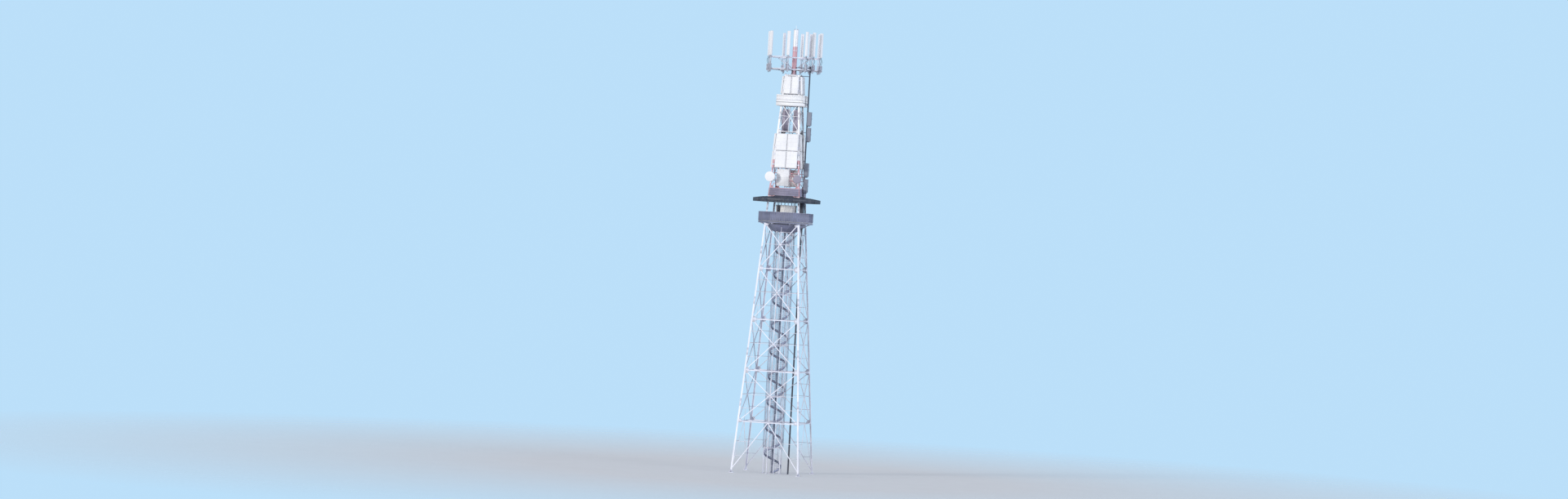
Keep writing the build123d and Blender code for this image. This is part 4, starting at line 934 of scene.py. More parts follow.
class TOWER_OT_shaft_fittings(bpy.types.Operator):
    """Cleats, bolts and sleeves of the stair shaft, and upright infill bars on its hoops"""

    bl_idname = "tower.shaft_fittings"
    bl_label = "Shaft fittings"

    def execute(self, context):
        cleats = bar(HOOP_FACE - 0.002, 0, (HOOPS - 0.034, HOOPS + 0.034), X, 0.06, 0.004)
        spots = at(HOOP_FACE, 0.018 * ROWS, HOOPS[:, None] + 0.02 * COLUMNS)
        joints = 0.45 + 0.9 * np.array([4, 9, 14])
        sleeves = bar(POST_RADIUS, 0, (joints, joints + 0.16), X, 0.048, 0.048)
        piece("shaft_fittings", "steel", around(join(cleats, heads(0.007, spots, X), sleeves), POSTS))
        y = [-0.225, -0.160, -0.095, 0.095, 0.160, 0.225]
        bars = rod(HOOP_FACE, y, (HOOPS[0] - 0.022, HOOPS[-1] + 0.022), X, 0.004, 6)
        piece("shaft_bars", "tread", around(bars, POSTS), slot="galvanised_steel")
        return {"FINISHED"}


class TOWER_OT_deck_fittings(bpy.types.Operator):
    """Joists and soffit strips below the deck, ribs and trims of the parapet, kick plate and strut plates"""

    bl_idname = "tower.deck_fittings"
    bl_label = "Deck fittings"

    def execute(self, context):
        pitch = context.scene.tower_sizes.rib_pitch
        edge = DECK_APOTHEM * math.tan(math.pi / 8)
        number = math.floor((edge - 0.05) / pitch)
        y = np.arange(-number, number + 1) * pitch
        face = DECK_APOTHEM - 0.0045
        ribs = rib(face, y, (DECK_Z + 0.05, DECK_Z + 0.585), X, 0.024, 0.014, 0.0, 0.011)
        rails = bar(face + 0.002, (-edge, edge), [DECK_Z + 0.042, DECK_Z + 0.592], X, 0.022, 0.008)
        corner = face / math.cos(math.pi / 8) - 0.004
        trim = members(polar(corner, POSTS[0], DECK_Z + 0.03), polar(corner, POSTS[0], PARAPET_TOP - 0.026),
                       polar(1, POSTS[0], 0), circle(0.016, 8))
        piece("parapet_ribs", "dark", around(join(ribs, rails, trim), POSTS - POSTS[0]))
        kick = ring(DECK_APOTHEM - 0.0185, POSTS, DECK_Z + 0.055, 0.004, 0.10, 0.002)
        bead = ring(DECK_APOTHEM - 0.025, POSTS, PARAPET_TOP + 0.004, 0.034, 0.008)
        piece("parapet_trims", "steel", kick, bead)

        a, b = SOFFIT
        fall = (b[0] - a[0], b[1] - a[1])
        strip = straight((a[0] + 0.022, b[0] - 0.020), 0, (a[1] + 0.0133, b[1] - 0.0130), UP,
                         [(-0.026, 0.0027), (0.0, -0.004), (0.026, 0.0027), (0.026, 0.0057), (0.0, 0.0),
                          (-0.026, 0.0057)])
        share = np.linspace(0.06, 0.94, 9)
        screws = heads(0.004, at(a[0] + share * fall[0], 0, a[1] - 0.0052 + share * fall[1]),
                       (fall[1], 0, -fall[0]), X)
        lips = [ring(radius * math.cos(math.pi / 8), POSTS, z, 0.020, 0.016)
                for radius, z in ((a[0] + 0.012, a[1] - 0.0010), (b[0] - 0.010, b[1] - 0.0145))]
        piece("soffit_strips", "dark", around(join(strip, screws), POSTS), *lips)

        low, high = DECK_BEAMS
        piece("deck_joists", "dark", *[ring(apothem, POSTS, (low + high) / 2, 0.028, 0.052, 0.024)
                                       for apothem in (0.93, 1.24, 1.50)])
        strut_foot, strut_head = 16.175, 1.60
        plates = join(bar(0.6525, 0, (strut_foot - 0.07, strut_foot + 0.07), X, 0.10, 0.009),
                      bar((strut_head - 0.10, strut_head + 0.10), 0, low - 0.004, UP, 0.10, 0.008),
                      bar((strut_head - 0.08, strut_head + 0.06), [-0.027, 0.027], low - 0.03, UP,
                          0.006, 0.06))
        foot = at(0.657, 0.036 * ROWS, strut_foot + 0.05 * COLUMNS)
        under = at(strut_head + 0.08 * ROWS, 0.038 * COLUMNS, low - 0.008)
        piece("strut_plates", "steel",
              around(join(plates, heads(0.009, foot, X), heads(0.009, under, -UP, X)), POSTS))
        return {"FINISHED"}


class TOWER_OT_enclosure(bpy.types.Operator):
    """Battens, cap and door jambs of the white enclosure round the head of the stair"""

    bl_idname = "tower.enclosure"
    bl_label = "Stair enclosure fittings"

    def execute(self, context):
        face = HOOP_APOTHEM + 0.0123
        side = face * math.tan(math.pi / 8)
        door = 0.021
        top = DECK_Z + 1.030
        whole = (-side, side)
        shapes = []
        for heading, (low, high) in zip(POSTS, [whole] * 4 + [(-side, door), (-door, side)] + [whole] * 2):
            y = [v for v in (-0.20, -0.10, 0.0, 0.10, 0.20) if low < v < high]
            parts = [
                rib(face, y, (DECK_Z + 0.035, DECK_Z + 1.010), X, 0.012, 0.007, 0.0, 0.008),
                bar(face - 0.006, (low, high), top + 0.040, UP, 0.036, 0.096),
                bar(face + 0.004, (low, high), [DECK_Z + 0.50, DECK_Z + 0.045], X, 0.03, 0.010)]
            if high - low < 2 * side:
                jamb = high if high == door else low
                parts.append(bar(face - 0.006, jamb, (DECK_Z + 0.012, top + 0.008), X, 0.018, 0.030))
            shapes.append(around(join(*parts), heading))
        piece("enclosure_battens", "white", *shapes)
        return {"FINISHED"}


def roof_top(radius):
    """Height of the top of the roof sheets along a ridge: it falls evenly with the radius."""
    return ROOF_PEAK - ROOF_SLOPE * np.asarray(radius, float)


class TOWER_OT_roof_fittings(bpy.types.Operator):
    """Standing seams, ridge caps, purlins, edge beads and gutter of the roof"""

    bl_idname = "tower.roof_fittings"
    bl_label = "Roof fittings"

    def execute(self, context):
        half_bay = RIDGES[1] / 2
        shrink = math.cos(math.radians(half_bay))
        inner, outer = 1.58, 2.285
        cap = rib((inner, outer), 0, (roof_top(inner) + 0.003, roof_top(outer) + 0.003), UP,
                  0.030, 0.012, -0.004, 0.006)
        start, end = np.array([1.68, 1.60, 1.68]), (ROOF_RADIUS - 0.012) * shrink
        seams = bar((start, end), [-0.20, 0.0, 0.20],
                    (roof_top(start / shrink) + 0.007, roof_top(end / shrink) + 0.007), UP, 0.009, 0.016)
        rims = [ring(ROOF_RADIUS * shrink - inset, RIDGES, z, width, height)
                for inset, z, width, height in ((0.002, 18.255, 0.018, 0.018), (0.004, 18.366, 0.022, 0.014),
                                                (0.029, 18.199, 0.056, 0.096))]
        piece("roof_seams", "roof", around(join(cap, around(seams, half_bay)), RIDGES), *rims)
        piece("roof_purlins", "dark", *[ring(radius * shrink, RIDGES, roof_top(radius) - 0.034, 0.026, 0.036)
                                        for radius in (1.62, 1.84, 2.06)])
        return {"FINISHED"}


class TOWER_OT_cables(bpy.types.Operator):
    """Round feeder cables in the place of the flat bundle, with their clips, bridge, duct and power cables"""

    bl_idname = "tower.cables"
    bl_label = "Feeder cables"

    def execute(self, context):
        s = context.scene.tower_sizes
        x = CABLE_X - 0.0223
        lanes = np.linspace(-0.085, 0.085, s.cable_count)
        sheath = circle(s.cable_radius, 8)
        z = np.linspace(GROUND, CABLE_TOP, 122)
        sways = [0.0011 * np.sin(z * 2 * math.pi / 0.9 + n) for n in range(s.cable_count)]
        runs = [sweep(at(x + 0.6 * sway, lane + sway, z), X, sheath) for lane, sway in zip(lanes, sways)]
        obj = piece("feeder_run", "cable", *runs, smooth=True)
        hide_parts("feeder_cables")
        power = rod(CABLE_X + 0.031, np.linspace(-0.098, 0.098, 7), (GROUND, 18.3605), X, 0.0125, 8)
        piece("power_cables", "cable", power, smooth=True)
        seat = CABLE_X - 0.034
        level = np.array([16.855, 17.37, 17.88, 18.385])
        # The duct's near-black roof finish is painted shade under the roof's edge
        trunk = bar(seat, 0, (level[0] - 0.013, level[-1] + 0.012), X, 0.52, 0.212)
        piece("cable_duct", "roof", trunk, bar(seat, 0, (level - 0.010, level + 0.010), X, 0.546, 0.238))

        mid = 0.9 * (np.arange(29) + 1.0)
        levels = np.append(0.9 * (np.arange(30) + 0.5), mid)
        joints = 0.2 + 3.0 * np.arange(1, 10)[:, None]
        lay = CABLE_TOP - 0.10
        steps = np.linspace(0.24, 0.98, 5)
        piece("cable_clips", "ladder",
              bar(x - 0.0125, (-0.110, 0.110), levels, X, 0.030, 0.004),
              bar(x + 0.0125, (-0.132, 0.132), mid, X, 0.030, 0.005),
              heads(0.006, at(x - 0.0145, [-0.102, 0.0, 0.102], levels[:, None]), -X),
              bar(CABLE_X + 0.020, [-0.132, 0.132], (joints - 0.09, joints + 0.09), X, 0.030, 0.005),
              bar((0.115, CABLE_X - 0.018), [-0.115, 0.115], lay, UP, 0.012, 0.040),
              bar(steps, (-0.11, 0.11), lay - 0.012, UP, 0.020, 0.012))
        bends = [bent([(x, y, CABLE_TOP - 0.02), (x, y, lay + 0.075), (x - 0.04, y, lay + 0.022),
                       (x - 0.16, y, lay + 0.005), (0.55, y, lay + 0.005), (0.29, y * 0.9, lay + 0.005),
                       (0.155, y * 0.8, lay + 0.005)], 40, -FRONT, sheath) for y in lanes]
        piece("feeder_bends", "cable", *bends, smooth=True)
        return {"FINISHED"}


class TOWER_OT_boxes(bpy.types.Operator):
    """Doors, hinges, rain hoods and cable glands of the junction boxes"""

    bl_idname = "tower.boxes"
    bl_label = "Junction box fittings"

    def execute(self, context):
        near = CABLE_X + 0.0183
        face = near + 0.250
        gland = lathe([(0.006, -0.055), (0.012, -0.052), (0.016, -0.030), (0.020, -0.028), (0.020, 0.0)], 10)
        box = join(
            bar(face + 0.002, 0, (0.05, 0.85), X, 0.258, 0.006),
            rib(face + 0.006, 0, (0.08, 0.82), X, 0.110, 0.100, -0.002, 0.004),
            bar((near + 0.012, face + 0.014), 0, (0.905, 0.897), UP, 0.336, 0.010),
            rod(face + 0.006, -0.132, ([0.15, 0.44, 0.73], [0.21, 0.50, 0.79]), X, 0.008, 8),
            rod(face + 0.022, 0.095, (0.40, 0.52), X, 0.006, 8),
            rod((face + 0.004, face + 0.024), 0.095, [0.41, 0.51], UP, 0.005, 6),
            bar(face + 0.011, (-0.07, 0.07), 0.66 + 0.02 * np.arange(5), (1, 0, 0.6), 0.010, 0.006),
            copies(gland, at(near + 0.07 + 0.055 * np.arange(3)[:, None], [-0.08, 0.0, 0.08], 0.0)),
            bar(near + 0.004, (-0.150, 0.150), [0.12, 0.78], X, 0.040, 0.006))
        piece("box_doors", "radio", copies(box, at(0, 0, BOX_LEVELS)))
        return {"FINISHED"}


class TOWER_OT_ladder_cage(bpy.types.Operator):
    """Safety cage of the mast's climbing ladder, and the flanges, steps and tape of the pole"""

    bl_idname = "tower.ladder_cage"
    bl_label = "Ladder cage"

    def execute(self, context):
        centre, reach = 0.030 * FRONT, 0.186
        out = polar(1, np.linspace(53.0, -233.0, 27), 0)
        hoop = sweep(centre + reach * out, out, rectangle(0.028, 0.004))
        sides = [-90.0, -140.0, -40.0, 10.0, -190.0]
        shapes = []
        pitch = 0.42
        for low, high in ((19.20, 22.72), (24.55, 26.50)):
            levels = np.linspace(low, high, round((high - low) / pitch) + 1)
            shapes.append(copies(hoop, at(0, 0, levels)))
            foot = centre + polar(reach - 0.004, sides, low)
            shapes.append(members(foot, foot + (high - low) * UP, polar(1, sides, 0),
                                  rectangle(0.022, 0.004)))
        piece("ladder_cage", "steel", *shapes)

        r = POLE_RADIUS
        z = np.arange(26.95, 29.6, 0.24)
        a = np.where(np.arange(len(z)) % 2, 140.0, 165.0)
        peg = polar(r + 0.101, a, z)
        pegs = join(members(polar(r - 0.002, a, z), polar(r + 0.105, a, z), UP, circle(0.008, 8)),
                    members(peg, peg + 0.03 * UP, polar(1, a, 0), circle(0.007, 8)))
        joint = 28.30
        flanges = [tube(r - 0.001, r + 0.085, HEAD_TOP, HEAD_TOP + 0.018),
                   tube(r - 0.001, r + 0.050, joint, joint + 0.016),
                   tube(r - 0.001, r + 0.050, joint + 0.018, joint + 0.034)]
        studs = join(rod(r + 0.062, 0, (HEAD_TOP + 0.018, HEAD_TOP + 0.045), X, 0.008, 6),
                     moved(bolt(0.013), r + 0.062, 0, HEAD_TOP + 0.018),
                     moved(bolt(0.010), r + 0.030, 0, joint + 0.034),
                     heads(0.010, vec((r + 0.030, 0, joint)), -UP, X))
        fin = straight(r - 0.001, (0.004, -0.004), HEAD_TOP, UP,
                       [(0.0, 0.018), (0.070, 0.018), (0.070, 0.030), (0.004, 0.13), (0.0, 0.13)])
        twelve = 30.0 * np.arange(12)
        cap = tube(r - 0.010, r + 0.007, POLE_TOP - 0.012, POLE_TOP + 0.004)
        holder = lathe([(0.040, 0.0), (0.040, 0.010), (0.020, 0.016), (0.020, 0.060), (0.0135, 0.064)], 20)
        route = ((0.025, POLE_TOP + 0.012), (0.11, POLE_TOP + 0.014), (r + 0.010, POLE_TOP + 0.008),
                 (r + 0.010, POLE_TOP - 0.03), (r + 0.003, POLE_TOP - 0.12), (r + 0.003, 27.6),
                 (r + 0.003, HEAD_TOP + 0.20), (r + 0.10, HEAD_TOP + 0.05), (r + 0.12, HEAD_TOP + 0.003))
        tape = bent([(0.838 * away, 0.545 * away, z) for away, z in route], 70, (-0.545, 0.838, 0.0),
                    rectangle(0.004, 0.014))
        piece("pole_fittings", "steel", pegs, *flanges, around(studs, twelve), around(fin, twelve + 15.0),
              cap, moved(holder, 0, 0, POLE_TOP + 0.001), tape, smooth=True)
        return {"FINISHED"}


class TOWER_OT_cabinet_fittings(bpy.types.Operator):
    """Doors, louvres, handles, plinths and cable glands of the cabinets, their cables and cable tray"""

    bl_idname = "tower.cabinet_fittings"
    bl_label = "Cabinet fittings"

    def execute(self, context):
        low, high = CABINETS
        slats = np.append(low + 0.16 + 0.030 * np.arange(10), high - 0.42 + 0.030 * np.arange(9))
        hinge = low + np.array([0.18, 0.68, 1.18])
        centre, side, face, handle = 0.385, 0.590, -0.150, 0.155
        front = join(
            bar(0, face - 0.003, (low + 0.09, high - 0.06), FRONT, 0.366, 0.006),
            bar([-0.150, 0.150], face - 0.007, (low + 0.12, high - 0.09), FRONT, 0.016, 0.005),
            bar((-0.125, 0.125), face - 0.008, slats, (0, -1, 0.8), 0.014, 0.016),
            rod(handle, face - 0.030, (low + 0.66, low + 0.82), FRONT, 0.006, 8),
            rod(handle, (face - 0.004, face - 0.032), [low + 0.68, low + 0.80], UP, 0.005, 6),
            rod(-0.185, face - 0.007, (hinge, hinge + 0.07), FRONT, 0.008, 8))
        gland = lathe([(0.020, 0.0), (0.020, 0.016), (0.014, 0.018), (0.014, 0.05), (0.010, 0.052)], 12)
        exits = at(0.27 + 0.055 * np.arange(5)[:, None], [-0.05, 0.05], high)
        body = join(
            copies(front, at([centre, -centre], 0, 0)),
            bar((centre - 0.217, centre + 0.217), 0, high + 0.008, UP, 0.328, 0.014),
            bar((centre - 0.203, centre + 0.203), face - 0.001, low + 0.035, UP, 0.006, 0.062),
            bar(side + 0.001, (face, -face), low + 0.035, UP, 0.006, 0.062),
            rib(side + 0.001, [-0.10, 0.0, 0.10], (low + 0.08, high - 0.05), X, 0.014, 0.008, -0.001, 0.007),
            copies(gland, exits + 0.014 * UP))
        piece("cabinet_doors", "cabinet", around(body, (0, 180)))
        sheath = circle(0.008, 6)
        cables = [bent([(x, y, z + 0.05), (x, y, z + 0.13), (x + 0.02, y * 1.5, z + 0.22),
                        (0.50, y * 1.6, z + 0.30), (0.60, y * 1.5, z + 0.36), (0.66, y * 1.4, z + 0.38)],
                       26, (0, 1, 0.1), sheath) for x, y, z in exits]
        piece("cabinet_cables", "cable", *cables, smooth=True)
        piece("cable_tray", "steel", bar((0.50, 1.08), [-0.10, 0.10], high + 0.365, UP, 0.010, 0.034),
              bar(0.56 + 0.12 * np.arange(5), (-0.10, 0.10), high + 0.355, UP, 0.018, 0.010))
        return {"FINISHED"}


def panel_cover(centre, edge, inset, levels, out):
    """Cross ribs, side strips and bolts on the cover of one panel on the front face."""
    strips = centre + (edge - inset) * np.array(SIDES)
    return join(
        flat((centre - edge, centre + edge), levels, out, trapezoid(0.012, 0.007, -0.003, 0.004)),
        flat(strips, (levels[0], levels[-1]), out, rectangle(0.010, 0.006)),
        heads(0.005, on_face(strips, levels[:, None], out + 0.003)))


class TOWER_OT_array_fittings(bpy.types.Operator):
    """Ribs, strips, connectors and clamps of the broadcast panels on the mast"""

    bl_idname = "tower.array_fittings"
    bl_label = "Broadcast panel fittings"

    def execute(self, context):
        plug = lathe([(0.014, 0.0), (0.018, 0.003), (0.018, 0.020), (0.012, 0.024), (0.012, 0.040),
                      (0.009, 0.042)], 10)
        ribs, clamps = [], []
        for bottom, rows, width, tall, faces in ARRAYS:
            covers, holds = [], []
            for z0 in bottom + (tall + ARRAY_GAP) * np.arange(rows):
                levels = z0 + tall * np.array([0.045, 0.27, 0.5, 0.73, 0.955])
                for centre in (-0.015 - width / 2, 0.015 + width / 2):
                    covers.append(panel_cover(centre, width / 2 - 0.040, 0.004, levels, 0.1506))
                    holds.append(copies(plug, on_face([centre - 0.05, centre + 0.05], z0, 0.085),
                                        facing(-FACE_UP, FACE_OUT)))
                z = z0 + tall * np.array([0.2, 0.2, 0.8, 0.8])
                x = np.tile(SIDES, 2) * (half(z) - LEG_WIDTH / 2)
                for lift in (-0.038, 0.038):
                    holds.append(flat((x - 0.045, x + 0.045), z + lift, 0.004, rectangle(0.034, 0.008)))
                    holds += [heads(0.007, on_face(x + dx, z + lift, 0.008)) for dx in (-0.03, 0.03)]
            ribs.append(around(join(*covers), faces))
            clamps.append(around(join(*holds), faces))
        piece("panel_ribs", "antenna", *ribs)
        piece("panel_clamps", "steel", *clamps)
        return {"FINISHED"}


class TOWER_OT_slim_panels(bpy.types.Operator):
    """Slim panels on the ladder's side of the mast and below the broadcast panels, on flat rails"""

    bl_idname = "tower.slim_panels"
    bl_label = "Slim panels"

    def execute(self, context):
        def panel(centre, z0, width):
            """One panel with bevelled front edges and its cover."""
            w, d, bevel = width / 2, 0.0225, 0.018
            outline = [(-w, -d), (w, -d), (w, d - bevel), (w - bevel, d), (bevel - w, d), (-w, d - bevel)]
            body = flat(centre, (z0, z0 + tall), 0.0415, outline)
            levels = z0 + tall * np.array([0.05, 0.275, 0.5, 0.725, 0.95])
            return join(body, panel_cover(centre, w - 0.035, 0.0, levels, 0.065))

        def rails(z):
            """Rails across the face at the heights z, bolted to the legs."""
            reach = half(z) - 0.012
            bolts = np.append(-(half(z) - 0.04), half(z) - 0.04)
            return join(flat((-reach, reach), z, 0.010, rectangle(0.040, 0.017)),
                        heads(0.008, on_face(bolts, np.tile(z, 2), 0.0185)))

        bottom, rows, width, tall, _ = ARRAYS[0]
        pitch = tall + ARRAY_GAP
        starts = bottom + pitch * np.arange(rows)
        tall_ones = join(*[panel(side * 0.4625, z0, 0.565) for z0 in starts for side in SIDES])
        low = panel(-0.14, bottom - pitch - 0.05, width + 0.10)
        piece("slim_panels", "antenna", around(tall_ones, 90), around(low, (0, 180)))
        levels = (starts[:, None] + tall * np.array([0.2, 0.8])).reshape(-1)
        piece("slim_rails", "banded", around(rails(levels), 90),
              around(rails(np.array([19.60, 19.90])), (0, 180)))
        return {"FINISHED"}


class TOWER_OT_louvres(bpy.types.Operator):
    """Lapped boards round the foot of the mast, on upright straps, open at the cable ladder"""

    bl_idname = "tower.louvres"
    bl_label = "Louvre screen"

    def execute(self, context):
        levels = 18.625 + 0.098 * np.arange(5)
        tilt = FACE_OUT + 0.14 * UP
        reach = half(levels) - 0.045

        def screen(boards, straps):
            """Boards at every level between the ends given, on straps at the places given."""
            x, z = np.array(straps), levels[:, None]
            return join(
                *[flat(ends, levels, 0.024, rectangle(0.112, 0.004), tilt) for ends in boards],
                flat(x, (18.575, 19.075), 0.0005, rectangle(0.040, 0.024)),
                flat(x, (z - 0.035, z + 0.035), 0.019, rectangle(0.024, 0.014)),
                heads(0.006, on_face(x, z, 0.0255), tilt))

        whole = screen([(-reach, reach)], (-0.90, -0.45, 0.0, 0.45, 0.90))
        split = screen([(-reach, -0.17), (0.17, reach)], (-0.90, -0.52, -0.21, 0.21, 0.52, 0.90))
        piece("louvre_screen", "skirt", around(whole, (0, 180, 270)), around(split, 90))
        return {"FINISHED"}


class TOWER_OT_dishes(bpy.types.Operator):
    """Drum dishes with a domed cover, a rolled rim and a ribbed back in the place of the plain drums"""

    bl_idname = "tower.dishes"
    bl_label = "Microwave dishes"

    def execute(self, context):
        back, pipe = 0.118, 0.130
        clamp = join(lathe([(0.029, -0.03), (0.040, -0.03), (0.040, 0.03), (0.029, 0.03)], 16),
                     bar([0.045, -0.045], (0.0, 0.075), 0, UP, 0.008, 0.05))
        axes = facing(FRONT)
        drums, mounts = [], []
        for side, z, r in DISHES:
            rear = back + 0.35 * r
            front = rear + 0.230
            drum = lathe([
                (0.070, 0.028), (0.070, 0.034), (0.062, 0.036), (0.062, 0.085), (0.070, 0.088), (0.070, back),
                (0.40 * r, back + 0.035 * r), (0.72 * r, back + 0.125 * r), (0.90 * r, back + 0.235 * r),
                (0.985 * r, rear), (0.985 * r, rear + 0.012), (r, rear + 0.014), (r, rear + 0.028),
                (0.985 * r, rear + 0.030), (0.985 * r, front - 0.048), (r, front - 0.046), (r, front - 0.022),
                (0.985 * r, front - 0.020), (0.90 * r, front - 0.013), (0.70 * r, front - 0.006),
                (0.45 * r, front - 0.002), (0.15 * r, front)], 64)
            twelve, eight = 30.0 * np.arange(12), 45.0 * np.arange(8)
            clips = members(polar(0.992 * r, twelve, front - 0.060), polar(0.992 * r, twelve, front - 0.018),
                            polar(1, twelve, 0), rectangle(0.018, 0.010))
            ribs = members(polar(0.075, eight, back - 0.012), polar(0.90 * r, eight, back + 0.225 * r), UP,
                           rectangle(0.006, 0.026))
            plates = bar((-0.06, 0.06), [-0.05, 0.05], 0.030, UP, 0.030, 0.008)
            x, y = side * (half(z) - LEG_WIDTH / 2), -half(z) - pipe
            drums.append(copies(join(drum, clips), at(x, y, z), axes))
            mounts.append(copies(join(ribs, plates), at(x, y, z), axes))
            mounts.append(copies(clamp, at(x, y, [z - 0.30, z + 0.30])))
        # The small dish's dark cover is painted shade
        for name, drum, finish in zip(("large_dish", "small_dish"), drums, ("antenna", "small_dish")):
            obj = piece(name, finish, drum, smooth=True)
            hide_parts("microwave_dishes")
        piece("dish_brackets", "steel", *mounts)
        return {"FINISHED"}


class TOWER_OT_crown(bpy.types.Operator):
    """Clamps, brackets, braces, connectors, cooling fins and jumper cables of the crown of antennas"""

    bl_idname = "tower.crown"
    bl_label = "Crown fittings"

    def execute(self, context):
        every = [(heading, n) for heading, places in SECTORS for n in places]
        headings, numbers = np.array(every).T

        def on_pipes(*shapes):
            """The shapes at every antenna pipe."""
            return copies(join(*shapes), polar(PIPE_SPACING * numbers, headings + 90.0, 0), spin(headings))

        levels = np.array(CROWN_LEVELS)[:, None]
        sign = np.array(SIDES)[:, None]
        clamps = [28.10, 29.36, 27.00, 27.32]
        ends = [PIPE_BOTTOM - 0.004, PIPE_BOTTOM + PIPE_LENGTH - 0.004]
        sockets = ((1.620, -0.06), (1.620, 0.06), (1.660, -0.03), (1.660, 0.03))
        connector = lathe([(0.013, 0.0), (0.013, 0.012), (0.009, 0.014), (0.009, 0.034), (0.007, 0.036)], 10)
        down = facing(-UP, X)
        piece("crown_clamps", "steel", on_pipes(
            rod((BOOM_X - 0.038, PIPE_X + 0.046), 0.036 * ROWS, levels + 0.02 * COLUMNS, UP, 0.006, 8),
            bar([BOOM_X - 0.0335, PIPE_X + 0.0325], (-0.055, 0.055), levels, X, 0.070, 0.007),
            copies(lathe([(0.0285, -0.024), (0.037, -0.024), (0.037, 0.024), (0.0285, 0.024)], 12),
                   at(PIPE_X, 0, clamps)),
            bar(PIPE_X + 0.024, (-0.062, 0.062), clamps, X, 0.048, 0.006),
            copies(lathe([(0.031, -0.006), (0.031, 0.006), (0.024, 0.010)], 16), at(PIPE_X, 0, ends)),
            copies(connector, at(*np.array(sockets).T, ANTENNA[0] - 0.004), down)))

        port = lathe([(0.012, 0.0), (0.012, 0.016), (0.008, 0.018), (0.008, 0.040)], 10)
        hood = RADIO[1] + 0.029
        piece("radio_fins", "crown_radio", on_pipes(
            bar(1.712, np.linspace(-0.086, 0.086, 12), RADIO, X, 0.003, 0.022),
            bar(1.600 + 0.010 * np.arange(9), 0.105 * sign, RADIO, X, 0.014, 0.003),
            bar((1.588, 1.704), 0, hood, UP, 0.190, 0.010),
            copies(port, at(RADIO_X, [-0.06, -0.02, 0.02, 0.06], RADIO[0] - 0.025), down),
            rod(RADIO_X + 0.005, [-0.04, 0.04], (hood + 0.004, hood + 0.041), X, 0.005, 6),
            rod(RADIO_X + 0.005, (-0.044, 0.044), hood + 0.039, UP, 0.005, 6)))
        piece("antenna_trims", "antenna", on_pipes(
            bar((1.588, 1.700), 0, list(ANTENNA), UP, 0.216, 0.012),
            bar(1.689, [-0.062, 0.062], (ANTENNA[0] + 0.015, ANTENNA[1] - 0.016), X, 0.010, 0.008)))

        thin = circle(0.0075, 6)
        jumpers = []
        for i, (x, y) in enumerate(sockets):
            bow = 0.030 + 0.012 * i
            jumpers.append(bent([(x, y, 27.905), (x, y, 27.83), (x + bow, y * 1.4, 27.70),
                                 (x + bow * 1.3, y * 1.7, 27.60), (RADIO_X + 0.015, y * 1.6, 27.48),
                                 (RADIO_X, y * 1.1, 27.43), (RADIO_X, y, 27.389)], 26, -FRONT, thin))
        piece("crown_jumpers", "cable", on_pipes(*jumpers), smooth=True)

        low, high = CROWN_LEVELS
        lane = low - 0.040
        tails = []
        for heading, n in every:
            y = PIPE_SPACING * n
            for off in (-0.02, 0.02):
                end = 0.032 * n + 0.4 * off
                route = [(RADIO_X, y + off, 26.905), (RADIO_X, y + off, 26.84), (1.59, y + off, 26.815),
                         (BOOM_X + 0.025, y + off, 26.87), (BOOM_X, y + off * 0.8, 26.98),
                         (BOOM_X, y * 0.93 + off * 0.4, lane), (BOOM_X, y * 0.5, lane),
                         (1.49, y * 0.14 + end, lane), (1.40, end, lane), (0.70, end, lane),
                         (0.25, end, lane), (0.169, end, lane - 0.02), (0.168, end, lane - 0.12),
                         (0.168, end, 26.74)]
                tails.append(around(bent(route, 90, (0, 0.6, 0.8), thin), heading))
        piece("crown_tails", "cable", *tails, smooth=True)

        brace = straight(([0.162, 0.75], [1.44, 0.75]), 0,
                         ([low + 0.05, low + 0.028], [high - 0.034, high - 0.028]),
                         -FRONT, angle_outline(0.040, 0.034, 0.005))
        knees = bar((1.20, 1.48), (0.0, [0.45, -0.45]), levels, UP, 0.030, 0.030)
        caps = bar(BOOM_X, ((BOOM_HALF + 0.0005) * sign, (BOOM_HALF + 0.0045) * sign), list(CROWN_LEVELS),
                   UP, 0.066, 0.066)
        collars = [tube(POLE_RADIUS - 0.001, POLE_RADIUS + 0.016, z - 0.05, z + 0.05) for z in CROWN_LEVELS]
        arms = [heading for heading, places in SECTORS]
        piece("crown_braces", "steel", around(join(brace, knees, caps), arms), *collars)
        return {"FINISHED"}


class TOWER_OT_lights(bpy.types.Operator):
    """Warning lights with a ribbed glass on a turned base in the place of the plain ones"""

    bl_idname = "tower.lights"
    bl_label = "Warning lights"

    def execute(self, context):
        places = np.vstack([at([-0.10, 0.10], 0, POLE_TOP), at(0.45 * ROWS, 0.45 * COLUMNS, HEAD_TOP)])
        ribs = [(0.0225 + 0.0025 * (n % 2), 0.020 + 0.0045 * n) for n in range(8)]
        globe = lathe([(0.0205, 0.016)] + ribs + [(0.0205, 0.0585), (0.0150, 0.0655), (0.0070, 0.0695)], 28)
        obj = piece("signal_globes", "lamp", copies(globe, places), smooth=True)
        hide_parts("obstruction_lights")
        base = lathe([(0.031, 0.001), (0.031, 0.006), (0.027, 0.008), (0.027, 0.014), (0.0285, 0.015),
                      (0.0285, 0.019), (0.021, 0.0195)], 28)
        six = 60.0 * np.arange(6)
        wire = circle(0.0012, 5)
        guard = members(polar(0.0275, six, 0.017), polar(0.0265, six, 0.055), (0.3, 0.2, 0.0), wire)
        piece("signal_bases", "steel", copies(join(base, guard), places), smooth=True)
        return {"FINISHED"}


